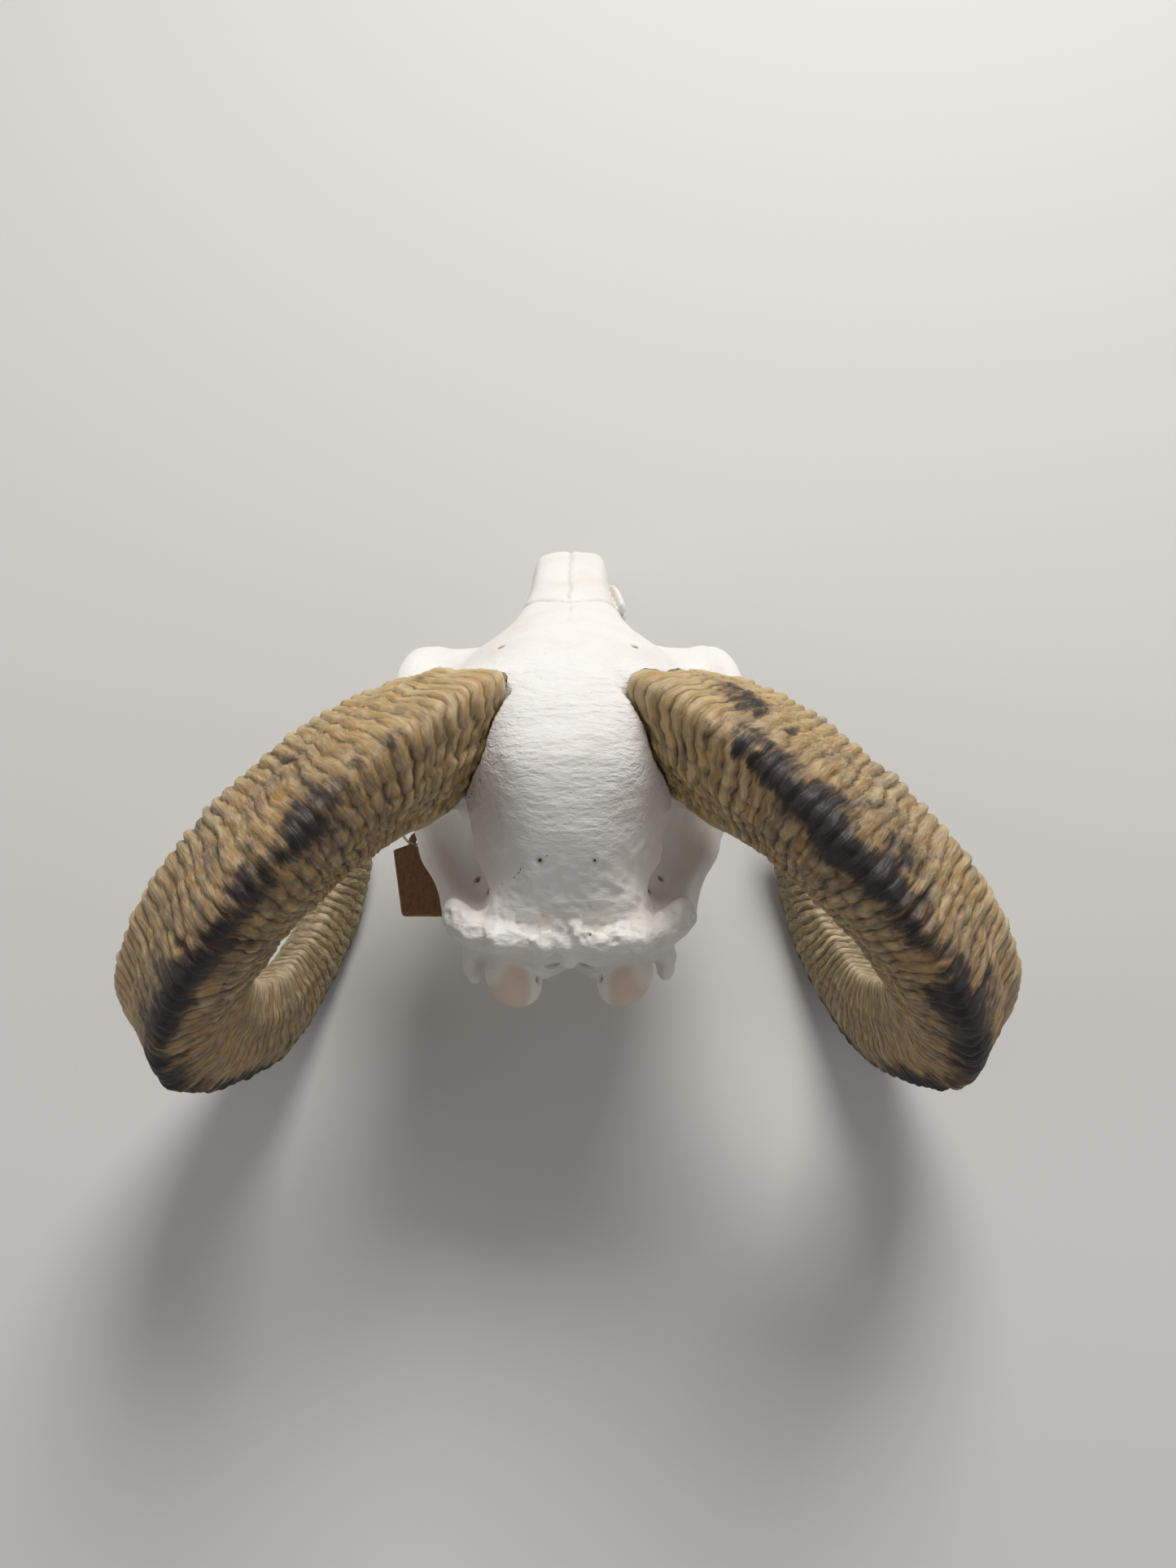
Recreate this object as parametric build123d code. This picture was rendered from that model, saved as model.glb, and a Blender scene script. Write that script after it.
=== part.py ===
"""Ram's skull with its two horn sheaths and a hanging museum-style card tag.

The skull is laid out in its own frame first: the palate lies level at z = 0, the middle of the
nuchal crest is near y = 0, the nose points to -Y and the animal's left is +X. At the end every
piece is turned nose-down and lifted, so that the skull stands on its two horn curls and on the
tip of its nose, with the origin under the middle of the whole object's box.
"""
from build123d import *
import os
from math import cos, radians, sin

# ---------------------------------------------------------------- driving dimensions, mm
SKULL_LENGTH = 276.0        # nuchal crest to nose tip
SKULL_WIDTH = 96.0          # across the braincase, at the temporal bones
SKULL_HEIGHT = 130.0        # palate to the poll between the horns
BONE_WALL = 4.0             # wall of the thin face bones
BRAIN_WALL = 11.0           # wall of the braincase, sinuses included
BRAIN_LENGTH = 78.0
BRAIN_HEIGHT = 58.0
FORAMEN_R = 10.5            # foramen magnum
CONDYLE_R = 12.0
CREST_THICK = 9.0

FORAMEN_Z = 0.215           # its height, as a share of the skull's height
VOMER_THICK = 1.8
SCROLL_R = 7.0              # nasal scroll
SCROLL_WALL = 1.2

ORBIT_R = 21.0              # clear radius of the eye socket
ORBIT_RIM = 5.0             # bone around it
ORBIT_REACH = 71.0          # from the midline to the rim
ARCH_HEIGHT = 10.0          # zygomatic arch bar
ARCH_THICK = 6.0

TOOTH_LENGTHS = [9.0, 10.0, 11.5, 13.5, 16.0, 18.0]     # premolar 2 to molar 3
TOOTH_WIDTH = 12.0
TOOTH_CROWN = 13.0          # standing out of the jaw
TOOTH_ROOT = 16.0           # sunk in its socket
TOOTH_GAP = 0.4
SOCKET_SKIN = 0.15          # socket to root
LINING_SKIN = 0.30          # inner nose bones to the cavity's wall
TOOTH_ROW_X = 26.0          # middle of the back tooth from the midline
TOOTH_ROW_TURN = 5.0        # degrees that the rows close towards the nose

HORN_RADIUS = 88.0          # radius of the circle that the horn's middle line follows
HORN_SECTION = 34.0         # middle line to a corner of the section, at the skull
HORN_TIP_R = 2.6
HORN_TURN = 280.0           # degrees from skull to tip
HORN_EVEN_TURN = 170.0      # degrees for which the coil stays on its circle
HORN_TIP_DRIFT = 77.0       # sideways drift of the tip, off the circle's plane
HORN_TIP_CLOSE = 41.0       # how much closer to the axis the tip lies
CORE_TURN = 84.0            # degrees of the coil that the bone core fills
CORE_BASE_R = 19.0
CORE_TIP_R = 9.0
CORE_CLEAR = 0.6            # core to sheath
RIM_GAP = 0.8               # sheath rim to skull
SHEATH_ROOM = 1.5           # clear space kept round the sheath
SEAT_INSET = 2.0            # the bone under the sheath, inside its outline
HORN_ROOT_TURN = -24.0      # where the horn's line starts inside the skull
CORE_ROOT_TURN = -20.0

TAG_WIDTH = 22.0
TAG_LENGTH = 42.0
TAG_THICK = 0.8
TAG_HOLE_R = 2.6
LOOP_R = 10.5               # middle line of the plastic loop
LOOP_WIRE_R = 0.6
LOOP_GAP = 0.6              # slack between the loop and the arch
TAG_HOLE_SLACK = 0.8        # the loop runs this far above the middle of the hole
TAG_LEAN = 60.0             # degrees below the palate plane that the tag hangs


# ---------------------------------------------------------------- places on the skull
def along(share):
    """Y of a station, as a share of the skull's length forward of the crest."""
    return -share * SKULL_LENGTH


def across(share):
    """X of a point, as a share of the skull's half width."""
    return share * SKULL_WIDTH / 2


def up(share):
    """Z of a point, as a share of the skull's height."""
    return share * SKULL_HEIGHT


# sutures: the planes at which neighbouring bones meet
OCCIPITAL_Y = along(0.03)
CORONAL_Y = along(0.13)
TEMPORAL_Y = along(0.22)
SPHENOID_Y = along(0.36)
NASION_Y = along(0.508)
INCISIVE_Y = along(0.775)
SQUAMOUS_Z = up(0.5)
LACRIMAL_Z = up(0.34)
PALATE_Z = up(0.07)
SPHENOID_X = across(0.34)
ZYGOMATIC_X = across(0.98)
PALATINE_X = across(0.32)
BIG = 600.0
CRUMB = 5.0                 # cubic mm: what the cuts leave smaller than this is dropped


def block(x0, x1, y0, y1, z0, z1):
    """A box between two corners."""
    size = (x1 - x0, y1 - y0, z1 - z0)
    return Pos((x0 + x1) / 2, (y0 + y1) / 2, (z0 + z1) / 2) * Box(*size)


def mirror_x(shape):
    """The same piece on the other side of the midline."""
    return mirror(shape, about=Plane.YZ)


def outline(y, top_w, top_z, mid_w, mid_z, low_w, low_z, shrink=0.0):
    """A closed face across the skull at y, from its half widths at three heights."""
    shoulder = top_z - 0.10 * (top_z - low_z)
    half = [
        (0.0, top_z - shrink),
        (top_w - 0.7 * shrink, shoulder - 0.7 * shrink),
        (mid_w - shrink, mid_z),
        (low_w - 0.7 * shrink, low_z + 0.7 * shrink + 0.06 * (top_z - low_z)),
        (0.0, low_z + shrink),
    ]
    points = half + [(-x, z) for x, z in half[-2:0:-1]]
    curve = Spline([Vector(x, y, z) for x, z in points], periodic=True)
    return make_face(Wire([curve]))


def ellipsoid(centre, radii):
    """A ball stretched to three radii."""
    return Pos(*centre) * scale(Sphere(1.0), by=radii)


# stations: share of length, top half width and height, middle, low, as shares
HEAD_STATIONS = [
    (-0.026, 0.60, 0.47, 0.80, 0.32, 0.50, 0.06),
    (0.030, 0.68, 0.72, 0.94, 0.40, 0.54, 0.05),
    (0.110, 0.70, 0.93, 0.96, 0.46, 0.54, 0.05),
    (0.220, 0.86, 1.00, 1.00, 0.56, 0.58, 0.06),
    (0.330, 1.02, 0.97, 1.14, 0.62, 0.62, 0.05),
    (0.420, 0.96, 0.89, 1.12, 0.58, 0.74, 0.00),
    (0.508, 0.48, 0.81, 0.88, 0.38, 0.76, -0.01),
    (0.620, 0.38, 0.71, 0.78, 0.28, 0.68, -0.01),
    (0.740, 0.35, 0.57, 0.58, 0.22, 0.50, 0.01),
    (0.850, 0.29, 0.42, 0.40, 0.18, 0.34, 0.03),
    (0.930, 0.22, 0.25, 0.31, 0.12, 0.26, 0.04),
    (0.985, 0.16, 0.13, 0.22, 0.09, 0.18, 0.04),
]
NOSE_STATIONS = [
    (0.350, 0.30, 0.62, 0.46, 0.40, 0.24, 0.11),
    (0.508, 0.40, 0.77, 0.70, 0.40, 0.27, 0.08),
    (0.620, 0.30, 0.67, 0.66, 0.34, 0.25, 0.075),
    (0.740, 0.27, 0.53, 0.48, 0.27, 0.23, 0.075),
    (0.860, 0.24, 0.45, 0.31, 0.20, 0.18, 0.09),
    (0.950, 0.18, 0.42, 0.20, 0.18, 0.12, 0.11),
]


def station_loft(stations, shrink=0.0):
    """A solid through a list of stations."""
    faces = []
    for share, top_w, top_z, mid_w, mid_z, low_w, low_z in stations:
        faces.append(outline(along(share), across(top_w), up(top_z), across(mid_w), up(mid_z),
                             across(low_w), up(low_z), shrink))
    return loft(faces)


# ---------------------------------------------------------------- the horn's coil
COIL_AXIS = Vector(0.701, -0.675, 0.230).normalized()
COIL_START = Vector(-0.510, -0.249, 0.824).normalized()
COIL_AHEAD = Vector(0.499, 0.695, 0.518).normalized()
COIL_CENTRE = Vector(across(1.954), along(0.159), up(0.194))
RIM_NORMAL = Vector(0.48, 0.62, 0.62).normalized()
RIM_TURN = 5.0              # degrees along the coil at which the sheath's rim stands


def coil_point(turn):
    """A point on the horn's middle line, at a turn in degrees from the skull."""
    late = max(0.0, (turn - HORN_EVEN_TURN) / (HORN_TURN - HORN_EVEN_TURN))
    radius = HORN_RADIUS - HORN_TIP_CLOSE * late ** 1.95
    drift = HORN_TIP_DRIFT * late ** 1.3
    angle = radians(turn)
    flat = COIL_START * cos(angle) + COIL_AHEAD * sin(angle)
    return COIL_CENTRE + flat * radius + COIL_AXIS * drift


def coil_share(turn):
    """Share of the sheath's length at a turn."""
    return max(0.0, turn) / HORN_TURN


def horn_corner(turn):
    """Distance from the middle line to a corner of the horn's section."""
    return HORN_TIP_R + (HORN_SECTION - HORN_TIP_R) * (1 - coil_share(turn) ** 1.45) ** 0.75


def coil_plane(turn, normal=None):
    """Section plane at a turn: x points away from the coil's middle."""
    here = coil_point(turn)
    if normal is None:
        normal = (coil_point(turn + 1.0) - coil_point(turn - 1.0)).normalized()
    centre = COIL_CENTRE + COIL_AXIS * (HORN_TIP_DRIFT * 0.3)
    outward = here - centre
    outward = outward - normal * outward.dot(normal)
    return Plane(origin=here, x_dir=outward.normalized(), z_dir=normal)


def section_turn(turn):
    """Degrees that the triangular section is turned round the middle line."""
    return 38.0 * max(0.0, 1 - turn / 185.0) ** 0.8


# the section's corners and the bulge of each side, in turn round the section
CORNER_ANGLES = (-35.7, 51.5, 183.0)     # keel, brow edge, inner edge
CORNER_REACH = (1.08, 0.90, 0.98)
BROW_SPREAD = 0.18          # extra reach of the brow edge at the elbow of the coil
SIDE_BULGE = (0.88, 0.74, 0.70)          # brow side, under side, nape side


def horn_section(turn, grow=0.0):
    """The rounded triangular section of the sheath at a turn."""
    reach = horn_corner(turn)
    twist = section_turn(turn)
    plane = coil_plane(turn)
    spread = BROW_SPREAD * min(1.0, max(0.0, turn / 150.0))
    shares = (CORNER_REACH[0], CORNER_REACH[1] + spread, CORNER_REACH[2])
    points = []
    for index, (angle, share) in enumerate(zip(CORNER_ANGLES, shares)):
        following = CORNER_ANGLES[(index + 1) % 3] + (360.0 if index == 2 else 0.0)
        for direction, distance in ((angle, share * reach),
                                    ((angle + following) / 2, SIDE_BULGE[index] * reach)):
            a = radians(direction + twist)
            points.append((cos(a) * (distance + grow), sin(a) * (distance + grow)))
    curve = Spline([plane.from_local_coords(Vector(x, y, 0)) for x, y in points], periodic=True)
    return make_face(Wire([curve]))


def core_radius(turn):
    """Radius of the bone core at a turn."""
    return CORE_BASE_R + (CORE_TIP_R - CORE_BASE_R) * turn / CORE_TURN


def core_solid(grow, start=CORE_ROOT_TURN):
    """The curved, tapering bone core, grown by a clearance, with a round end."""
    count = 8
    faces = []
    for index in range(count):
        turn = start + (CORE_TURN - start) * index / (count - 1)
        faces.append(coil_plane(turn) * Circle(core_radius(turn) + grow))
    cap = coil_plane(CORE_TURN) * Sphere(core_radius(CORE_TURN) + grow)
    return loft(faces) + cap


def beyond_rim(gap):
    """Everything on the horn's side of the rim plane, a gap away from it."""
    plane = Plane(origin=coil_point(RIM_TURN) + RIM_NORMAL * gap, z_dir=RIM_NORMAL)
    return plane * (Pos(0, 0, BIG / 2) * Box(BIG, BIG, BIG))


def horn_stretch(start, end, grow=0.0):
    """One stretch of the sheath's outer solid, between two turns."""
    count = max(3, int(round((end - start) / 13.0)) + 1)
    turns = [start + (end - start) * i / (count - 1) for i in range(count)]
    return loft([horn_section(turn, grow) for turn in turns])


def horn_sheath():
    """The animal's left horn sheath: hollow over the core, solid towards its tip."""
    ends = [HORN_ROOT_TURN + (HORN_TURN - HORN_ROOT_TURN) * i / 4 for i in range(5)]
    cavity = core_solid(CORE_CLEAR)
    sheath = (horn_stretch(ends[0], ends[1]) - cavity) & beyond_rim(RIM_GAP)
    sheath = sheath + (horn_stretch(ends[1], ends[2]) - cavity)
    for start, end in zip(ends[2:-1], ends[3:]):
        sheath = sheath + horn_stretch(start, end)
    return sheath


def horn_core():
    """The animal's left bone core, standing on the frontal bone at the rim plane."""
    return core_solid(0.0) & beyond_rim(0.0)


def horn_room():
    """The space kept free of skull bone round the left sheath, beyond its rim."""
    ahead = CORE_TURN
    return horn_stretch(HORN_ROOT_TURN, ahead, SHEATH_ROOM) & beyond_rim(0.0)


def horn_seat():
    """The swelling of the left frontal bone that carries the core, up to the rim plane."""
    body = horn_stretch(HORN_ROOT_TURN, RIM_TURN + 20.0, -SEAT_INSET)
    return body - beyond_rim(0.0)


# ---------------------------------------------------------------- skull bones
ORBIT_Y = along(0.385)
ORBIT_Z = up(0.54)
NASAL_TIP_Y = along(0.872)
ARCH_SUTURE_Y = along(0.24)


def orbit_tube(radius, x0, x1):
    """A cylinder along X through the left eye socket."""
    cylinder = Cylinder(radius, x1 - x0, rotation=(0, 90, 0))
    return Pos((x0 + x1) / 2, ORBIT_Y, ORBIT_Z) * cylinder


def brain_room():
    """The space for the brain."""
    middle_y = OCCIPITAL_Y - BRAIN_LENGTH / 2 + BRAIN_WALL / 2
    return ellipsoid((0, middle_y, up(0.42)),
                     (across(1.0) - BRAIN_WALL, BRAIN_LENGTH / 2, BRAIN_HEIGHT / 2))


def foramen_tool():
    """The bore of the foramen magnum, from outside into the braincase."""
    depth = -along(0.15)
    middle = Pos(0, depth * 0.1, up(FORAMEN_Z))
    return middle * Cylinder(FORAMEN_R, depth * 1.2, rotation=(90, 0, 0))


def head_shell(nose_room):
    """The hollow head, eye sockets opened, before it is divided into bones."""
    shell = station_loft(HEAD_STATIONS)
    tube = orbit_tube(ORBIT_R + ORBIT_RIM, across(0.62), ORBIT_REACH)
    shell = shell + tube + mirror_x(tube)
    mouth = orbit_tube(ORBIT_R, across(1.06), ORBIT_REACH + ORBIT_RIM)
    socket = ellipsoid((across(1.06), ORBIT_Y, ORBIT_Z),
                       (across(0.42), ORBIT_R * 0.93, ORBIT_R * 0.93))
    for cut in (brain_room(), nose_room, socket, mouth, mirror_x(socket), mirror_x(mouth)):
        shell = shell - cut
    return shell


def neck_pieces():
    """Condyles, paracondylar processes and nuchal crest, all of the occipital bone."""
    x = FORAMEN_R + CONDYLE_R * 0.7
    condyle = ellipsoid((x, -along(0.012), up(0.20)),
                        (CONDYLE_R * 0.9, CONDYLE_R * 0.8, CONDYLE_R * 1.3))
    process = ellipsoid((across(0.84), along(0.004), up(0.13)), (4.5, 6.0, up(0.16)))
    crest = Pos(0, along(-0.018), up(0.455)) * Box(SKULL_WIDTH * 0.92, CREST_THICK, up(0.09))
    crest = fillet(crest.edges(), CREST_THICK * 0.3)
    return [condyle, mirror_x(condyle), process, mirror_x(process), crest]


def arch_bar():
    """The left zygomatic arch, from under the eye socket back to the temporal bone."""
    route = [Vector(across(1.36), along(0.32), up(0.37)),
             Vector(across(1.40), along(0.26), up(0.38)),
             Vector(across(1.30), along(0.18), up(0.40)),
             Vector(across(0.80), along(0.08), up(0.38))]
    path = FilletPolyline(*route, radius=[16.0, 16.0])
    start = Plane(origin=route[0], x_dir=(0, 0, 1), z_dir=route[1] - route[0])
    profile = start * Ellipse(ARCH_HEIGHT / 2, ARCH_THICK / 2)
    return sweep(profile, path=path)


def above_nasal_seam():
    """Everything above the slanting seam between the nasal bones and the upper jaw."""
    back = Vector(0, NASION_Y, up(0.66))
    slope = Vector(0, along(0.86), up(0.31)) - back
    normal = Vector(0, slope.Z, -slope.Y).normalized()
    plane = Plane(origin=back, x_dir=(1, 0, 0), z_dir=normal)
    return plane * (Pos(0, 0, BIG / 2) * Box(BIG, BIG, BIG))


def tooth_places():
    """Name, middle y, x and length of each left cheek tooth, front to back."""
    names = ["premolar_2", "premolar_3", "premolar_4", "molar_1", "molar_2", "molar_3"]
    total = sum(TOOTH_LENGTHS) + TOOTH_GAP * (len(TOOTH_LENGTHS) - 1)
    back = along(0.42)
    front = back - total
    places = []
    for name, length in zip(names, TOOTH_LENGTHS):
        middle = front + length / 2
        x = TOOTH_ROW_X - (back - middle) * sin(radians(TOOTH_ROW_TURN))
        places.append((name, middle, x, length))
        front += length + TOOTH_GAP
    return places


def tooth_solid(place):
    """A cheek tooth: a root sunk in the jaw and a two-lobed crown."""
    _, y, x, length = place
    root = Pos(x, y, TOOTH_ROOT / 2) * Box(TOOTH_WIDTH * 0.8, length * 0.9, TOOTH_ROOT)
    root = fillet(root.edges().filter_by(Axis.Z), TOOTH_WIDTH * 0.16)
    crown = Pos(x, y, -TOOTH_CROWN / 2) * Box(TOOTH_WIDTH, length, TOOTH_CROWN)
    crown = fillet(crown.edges().filter_by(Axis.Z), TOOTH_WIDTH * 0.18)
    valley = Pos(x, y, -TOOTH_CROWN) * Cylinder(TOOTH_WIDTH * 0.13, TOOTH_WIDTH * 2,
                                                rotation=(0, 90, 0))
    return root + (crown - valley)


def socket_tool(place):
    """What a tooth needs out of the jaw: its root and crown, with a thin skin of room."""
    _, y, x, length = place
    skin = 2 * SOCKET_SKIN
    root = Pos(x, y, TOOTH_ROOT / 2) * Box(TOOTH_WIDTH * 0.8 + skin, length * 0.9 + skin,
                                           TOOTH_ROOT + skin)
    crown = Pos(x, y, -TOOTH_CROWN / 2) * Box(TOOTH_WIDTH + skin, length + skin, TOOTH_CROWN)
    return root + crown


def concha(nose_room):
    """The left nasal scroll: a curled wall hung from the side of the nasal cavity."""
    middle = Pos(across(0.34), (along(0.72) + along(0.46)) / 2, up(0.36))
    length = along(0.46) - along(0.72)
    tube = Cylinder(SCROLL_R, length, rotation=(90, 0, 0))
    tube = tube - Cylinder(SCROLL_R - SCROLL_WALL, length * 1.1, rotation=(90, 0, 0))
    slot = Pos(-SCROLL_R * 0.5, 0, -SCROLL_R) * Box(SCROLL_R, length * 1.1, SCROLL_R)
    web = Pos(SCROLL_R + across(0.2), 0, 0) * Box(across(0.4) + SCROLL_WALL, length, SCROLL_WALL)
    return (middle * (tube - slot + web)) & nose_room


def ethmoid(nose_room):
    """The ethmoid: parallel leaves closing the back of the nasal cavity."""
    y0, y1 = along(0.44), along(0.34)
    leaves = block(-BIG, BIG, along(0.37), y1, -BIG, BIG)
    pitch = across(0.14)
    for index in range(-3, 4):
        x = pitch * index
        leaves = leaves + block(x - SCROLL_WALL / 2, x + SCROLL_WALL / 2, y0, y1, up(0.3), BIG)
    return leaves & nose_room


def skull_bones():
    """Every bone of the skull, by node name, before the object is set on its rest."""
    nose_room = station_loft(NOSE_STATIONS)
    shell = head_shell(nose_room)
    outer = station_loft(HEAD_STATIONS)
    room, seat = horn_room(), horn_seat()
    bones = {}

    occiput = shell & block(-BIG, BIG, OCCIPITAL_Y, BIG, -BIG, BIG)
    for piece in neck_pieces():
        occiput = occiput + piece
    bones["occipital"] = occiput - foramen_tool() - brain_room()

    top = block(-BIG, BIG, CORONAL_Y, OCCIPITAL_Y, SQUAMOUS_Z, BIG)
    bones["parietal"] = (shell & top) - room - mirror_x(room)

    central = block(-SPHENOID_X, SPHENOID_X, SPHENOID_Y, OCCIPITAL_Y, -BIG, SQUAMOUS_Z)
    wing = block(SPHENOID_X, ZYGOMATIC_X, SPHENOID_Y, TEMPORAL_Y, -BIG, SQUAMOUS_Z)
    bones["sphenoid"] = (shell & (central + wing + mirror_x(wing))) - foramen_tool()

    bar = arch_bar()
    behind = block(-BIG, BIG, ARCH_SUTURE_Y, BIG, -BIG, BIG)
    lefts = {}
    wall = block(SPHENOID_X, BIG, TEMPORAL_Y, OCCIPITAL_Y, -BIG, SQUAMOUS_Z)
    temporal = (shell & wall) + ((bar & behind) - brain_room())
    lefts["temporal"] = temporal - block(-BIG, BIG, OCCIPITAL_Y, BIG, -BIG, BIG)
    cheek = block(ZYGOMATIC_X, BIG, NASION_Y, ARCH_SUTURE_Y, -BIG, SQUAMOUS_Z)
    lefts["zygomatic"] = (shell & cheek) + (bar - behind)

    brow = block(0, BIG, NASION_Y, CORONAL_Y, SQUAMOUS_Z, BIG)
    seat = seat - brain_room() - nose_room
    lefts["frontal"] = ((shell + seat) & brow) - room

    rear = block(0, ZYGOMATIC_X, NASION_Y, SPHENOID_Y, -BIG, LACRIMAL_Z)
    muzzle = block(0, BIG, INCISIVE_Y, NASION_Y, -BIG, BIG) - above_nasal_seam()
    floor = block(0, PALATINE_X, along(0.52), SPHENOID_Y, -BIG, up(0.16))
    jaw = (shell & (rear + muzzle)) - floor
    for place in tooth_places():
        jaw = jaw - socket_tool(place)
    lefts["maxilla"] = jaw
    lefts["palatine"] = shell & floor
    inner_corner = block(0, ZYGOMATIC_X, NASION_Y, SPHENOID_Y, LACRIMAL_Z, SQUAMOUS_Z)
    lefts["lacrimal"] = shell & inner_corner

    roof = block(0, BIG, NASAL_TIP_Y, NASION_Y, -BIG, BIG) & above_nasal_seam()
    lefts["nasal"] = shell & roof
    snout = block(0, BIG, -BIG, INCISIVE_Y, -BIG, BIG)
    lefts["premaxilla"] = (shell & snout) - roof

    bulla = ellipsoid((across(0.58), along(0.10), up(0.035)), (8.0, 12.0, up(0.07)))
    lefts["tympanic_bulla"] = bulla - outer
    inner_room = station_loft(NOSE_STATIONS, LINING_SKIN)
    lefts["nasal_concha"] = concha(inner_room)
    lefts["horn_core"] = horn_core()
    for place in tooth_places():
        lefts[place[0]] = tooth_solid(place)
    lefts["horn_sheath"] = horn_sheath()

    for name, piece in lefts.items():
        bones[name + "_left"] = piece
        bones[name + "_right"] = mirror_x(piece)
    keel = block(-VOMER_THICK / 2, VOMER_THICK / 2, along(0.80), along(0.44), -BIG, up(0.22))
    bones["vomer"] = keel & inner_room
    bones["ethmoid"] = ethmoid(inner_room)
    return bones


# ---------------------------------------------------------------- tag and loop
ARCH_HANG = Vector(across(1.357), along(0.225), up(0.389))     # where the loop goes round the arch
HANG = Vector(0, cos(radians(TAG_LEAN)), -sin(radians(TAG_LEAN)))   # the way the card hangs
SIDEWAYS = Vector(1, 0, 0)


def loop_centre():
    """Middle of the loop, which hangs on the arch with a little slack."""
    above_arch = (ARCH_HEIGHT / 2 + LOOP_WIRE_R + LOOP_GAP) / sin(radians(TAG_LEAN))
    return ARCH_HANG + HANG * (LOOP_R - above_arch)


def loop_solid():
    """The thin plastic loop through the card and round the arch, half turned to the card."""
    card_normal = SIDEWAYS.cross(HANG)
    through_card = (SIDEWAYS + card_normal).normalized()
    plane = Plane(origin=loop_centre(), x_dir=HANG, z_dir=HANG.cross(through_card))
    return plane * Torus(LOOP_R, LOOP_WIRE_R)


def tag_plane():
    """The card's own plane: origin in its hole, x across the card, y up towards its tab."""
    hole = loop_centre() + HANG * (LOOP_R + TAG_HOLE_SLACK)
    return Plane(origin=hole, x_dir=SIDEWAYS, z_dir=SIDEWAYS.cross(HANG * -1))


def tag_solid():
    """The card: square corners rounded, a scooped shoulder each side of a round tab."""
    tab_r = TAG_WIDTH * 0.27
    scoop_r = TAG_WIDTH * 0.21
    body_top = -tab_r * 0.4
    body_height = TAG_LENGTH - tab_r * 1.4
    body = Pos(0, body_top - body_height / 2) * RectangleRounded(TAG_WIDTH, body_height,
                                                                 TAG_WIDTH * 0.09)
    card = body + Circle(tab_r)
    scoops = [Pos(side * (tab_r * 0.9 + scoop_r), body_top + scoop_r * 0.55) * Circle(scoop_r)
              for side in (-1, 1)]
    for scoop in scoops:
        card = card - scoop
    return tag_plane() * extrude(card - Circle(TAG_HOLE_R), TAG_THICK / 2, both=True)


# ---------------------------------------------------------------- setting it on its rest
def lowest(shape, tilt):
    """Height of a shape's lowest point once it is turned nose-down by a tilt in degrees."""
    points, _ = shape.tessellate(0.5)
    t = radians(tilt)
    return min(p.Y * sin(t) + p.Z * cos(t) for p in points)


def rest_tilt(curl, snout):
    """The tilt at which the horn curls and the snout stand on one level plane."""
    low, high = 0.0, 45.0
    for _ in range(24):
        middle = (low + high) / 2
        if lowest(snout, middle) > lowest(curl, middle):
            low = middle
        else:
            high = middle
    return (low + high) / 2


def build():
    """Make every piece, set the object on its rest and write one STEP for each node."""
    pieces = skull_bones()
    pieces["tag_loop"] = loop_solid()
    pieces["tag"] = tag_solid()
    tilt = rest_tilt(pieces["horn_sheath_left"], pieces["premaxilla_left"])
    turned = {name: Rot(X=tilt) * piece for name, piece in pieces.items()}
    whole = Compound(children=[Compound(p.solids()) for p in turned.values()]).bounding_box()
    middle = (whole.min + whole.max) * 0.5
    place = Pos(-middle.X, -middle.Y, -whole.min.Z)
    print("rest tilt %.3f degrees, shift %.3f %.3f %.3f"
          % (tilt, -middle.X, -middle.Y, -whole.min.Z))
    os.makedirs("parts", exist_ok=True)
    for name, piece in turned.items():
        solids = [solid for solid in (place * piece).solids() if solid.volume > CRUMB]
        export_step(Compound(solids) if len(solids) > 1 else solids[0], f"parts/{name}.step")
    print(len(turned), "nodes")


build()
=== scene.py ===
import logging
import math
from dataclasses import dataclass
from enum import Enum

import bpy
import numpy as np
from mathutils import Matrix, Vector


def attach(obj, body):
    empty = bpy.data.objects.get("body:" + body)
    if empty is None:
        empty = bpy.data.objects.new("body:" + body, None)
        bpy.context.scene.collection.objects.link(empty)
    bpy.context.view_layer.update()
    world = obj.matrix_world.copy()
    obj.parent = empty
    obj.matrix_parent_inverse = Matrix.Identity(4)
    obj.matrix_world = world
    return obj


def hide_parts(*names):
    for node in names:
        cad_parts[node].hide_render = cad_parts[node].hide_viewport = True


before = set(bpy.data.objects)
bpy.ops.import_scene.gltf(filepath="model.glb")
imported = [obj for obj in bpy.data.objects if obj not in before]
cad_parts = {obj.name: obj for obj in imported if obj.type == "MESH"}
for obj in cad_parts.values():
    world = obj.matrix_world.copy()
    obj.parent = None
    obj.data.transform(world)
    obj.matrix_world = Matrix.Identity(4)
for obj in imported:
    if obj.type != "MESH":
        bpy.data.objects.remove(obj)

LOG = logging.getLogger("ram_skull")
Array = np.ndarray
Place = tuple[float, float, float]
Material = bpy.types.Material
Socket = bpy.types.NodeSocket
Shader = bpy.types.ShaderNode
Piece = bpy.types.Object
MM = 0.001


# ---------------------------------------------------------------- measures
def smooth(value: Array, low: float, high: float) -> Array:
    """Eases from 0 at low to 1 at high.

    Args:
        value: numbers to ease.
        low: where the rise starts.
        high: where the rise ends.

    Returns:
        Values from 0 to 1, of the same shape.
    """
    t = np.clip((value - low) / (high - low), 0.0, 1.0)
    return t * t * (3.0 - 2.0 * t)


def unit(vectors: Array) -> Array:
    """Vectors scaled to length one."""
    return vectors / np.maximum(np.linalg.norm(vectors, axis=-1, keepdims=True), 1e-9)


def gauss(value: Array, width: float) -> Array:
    """A bell of height one at value 0."""
    return np.exp(-((value / width) ** 2))


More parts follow.
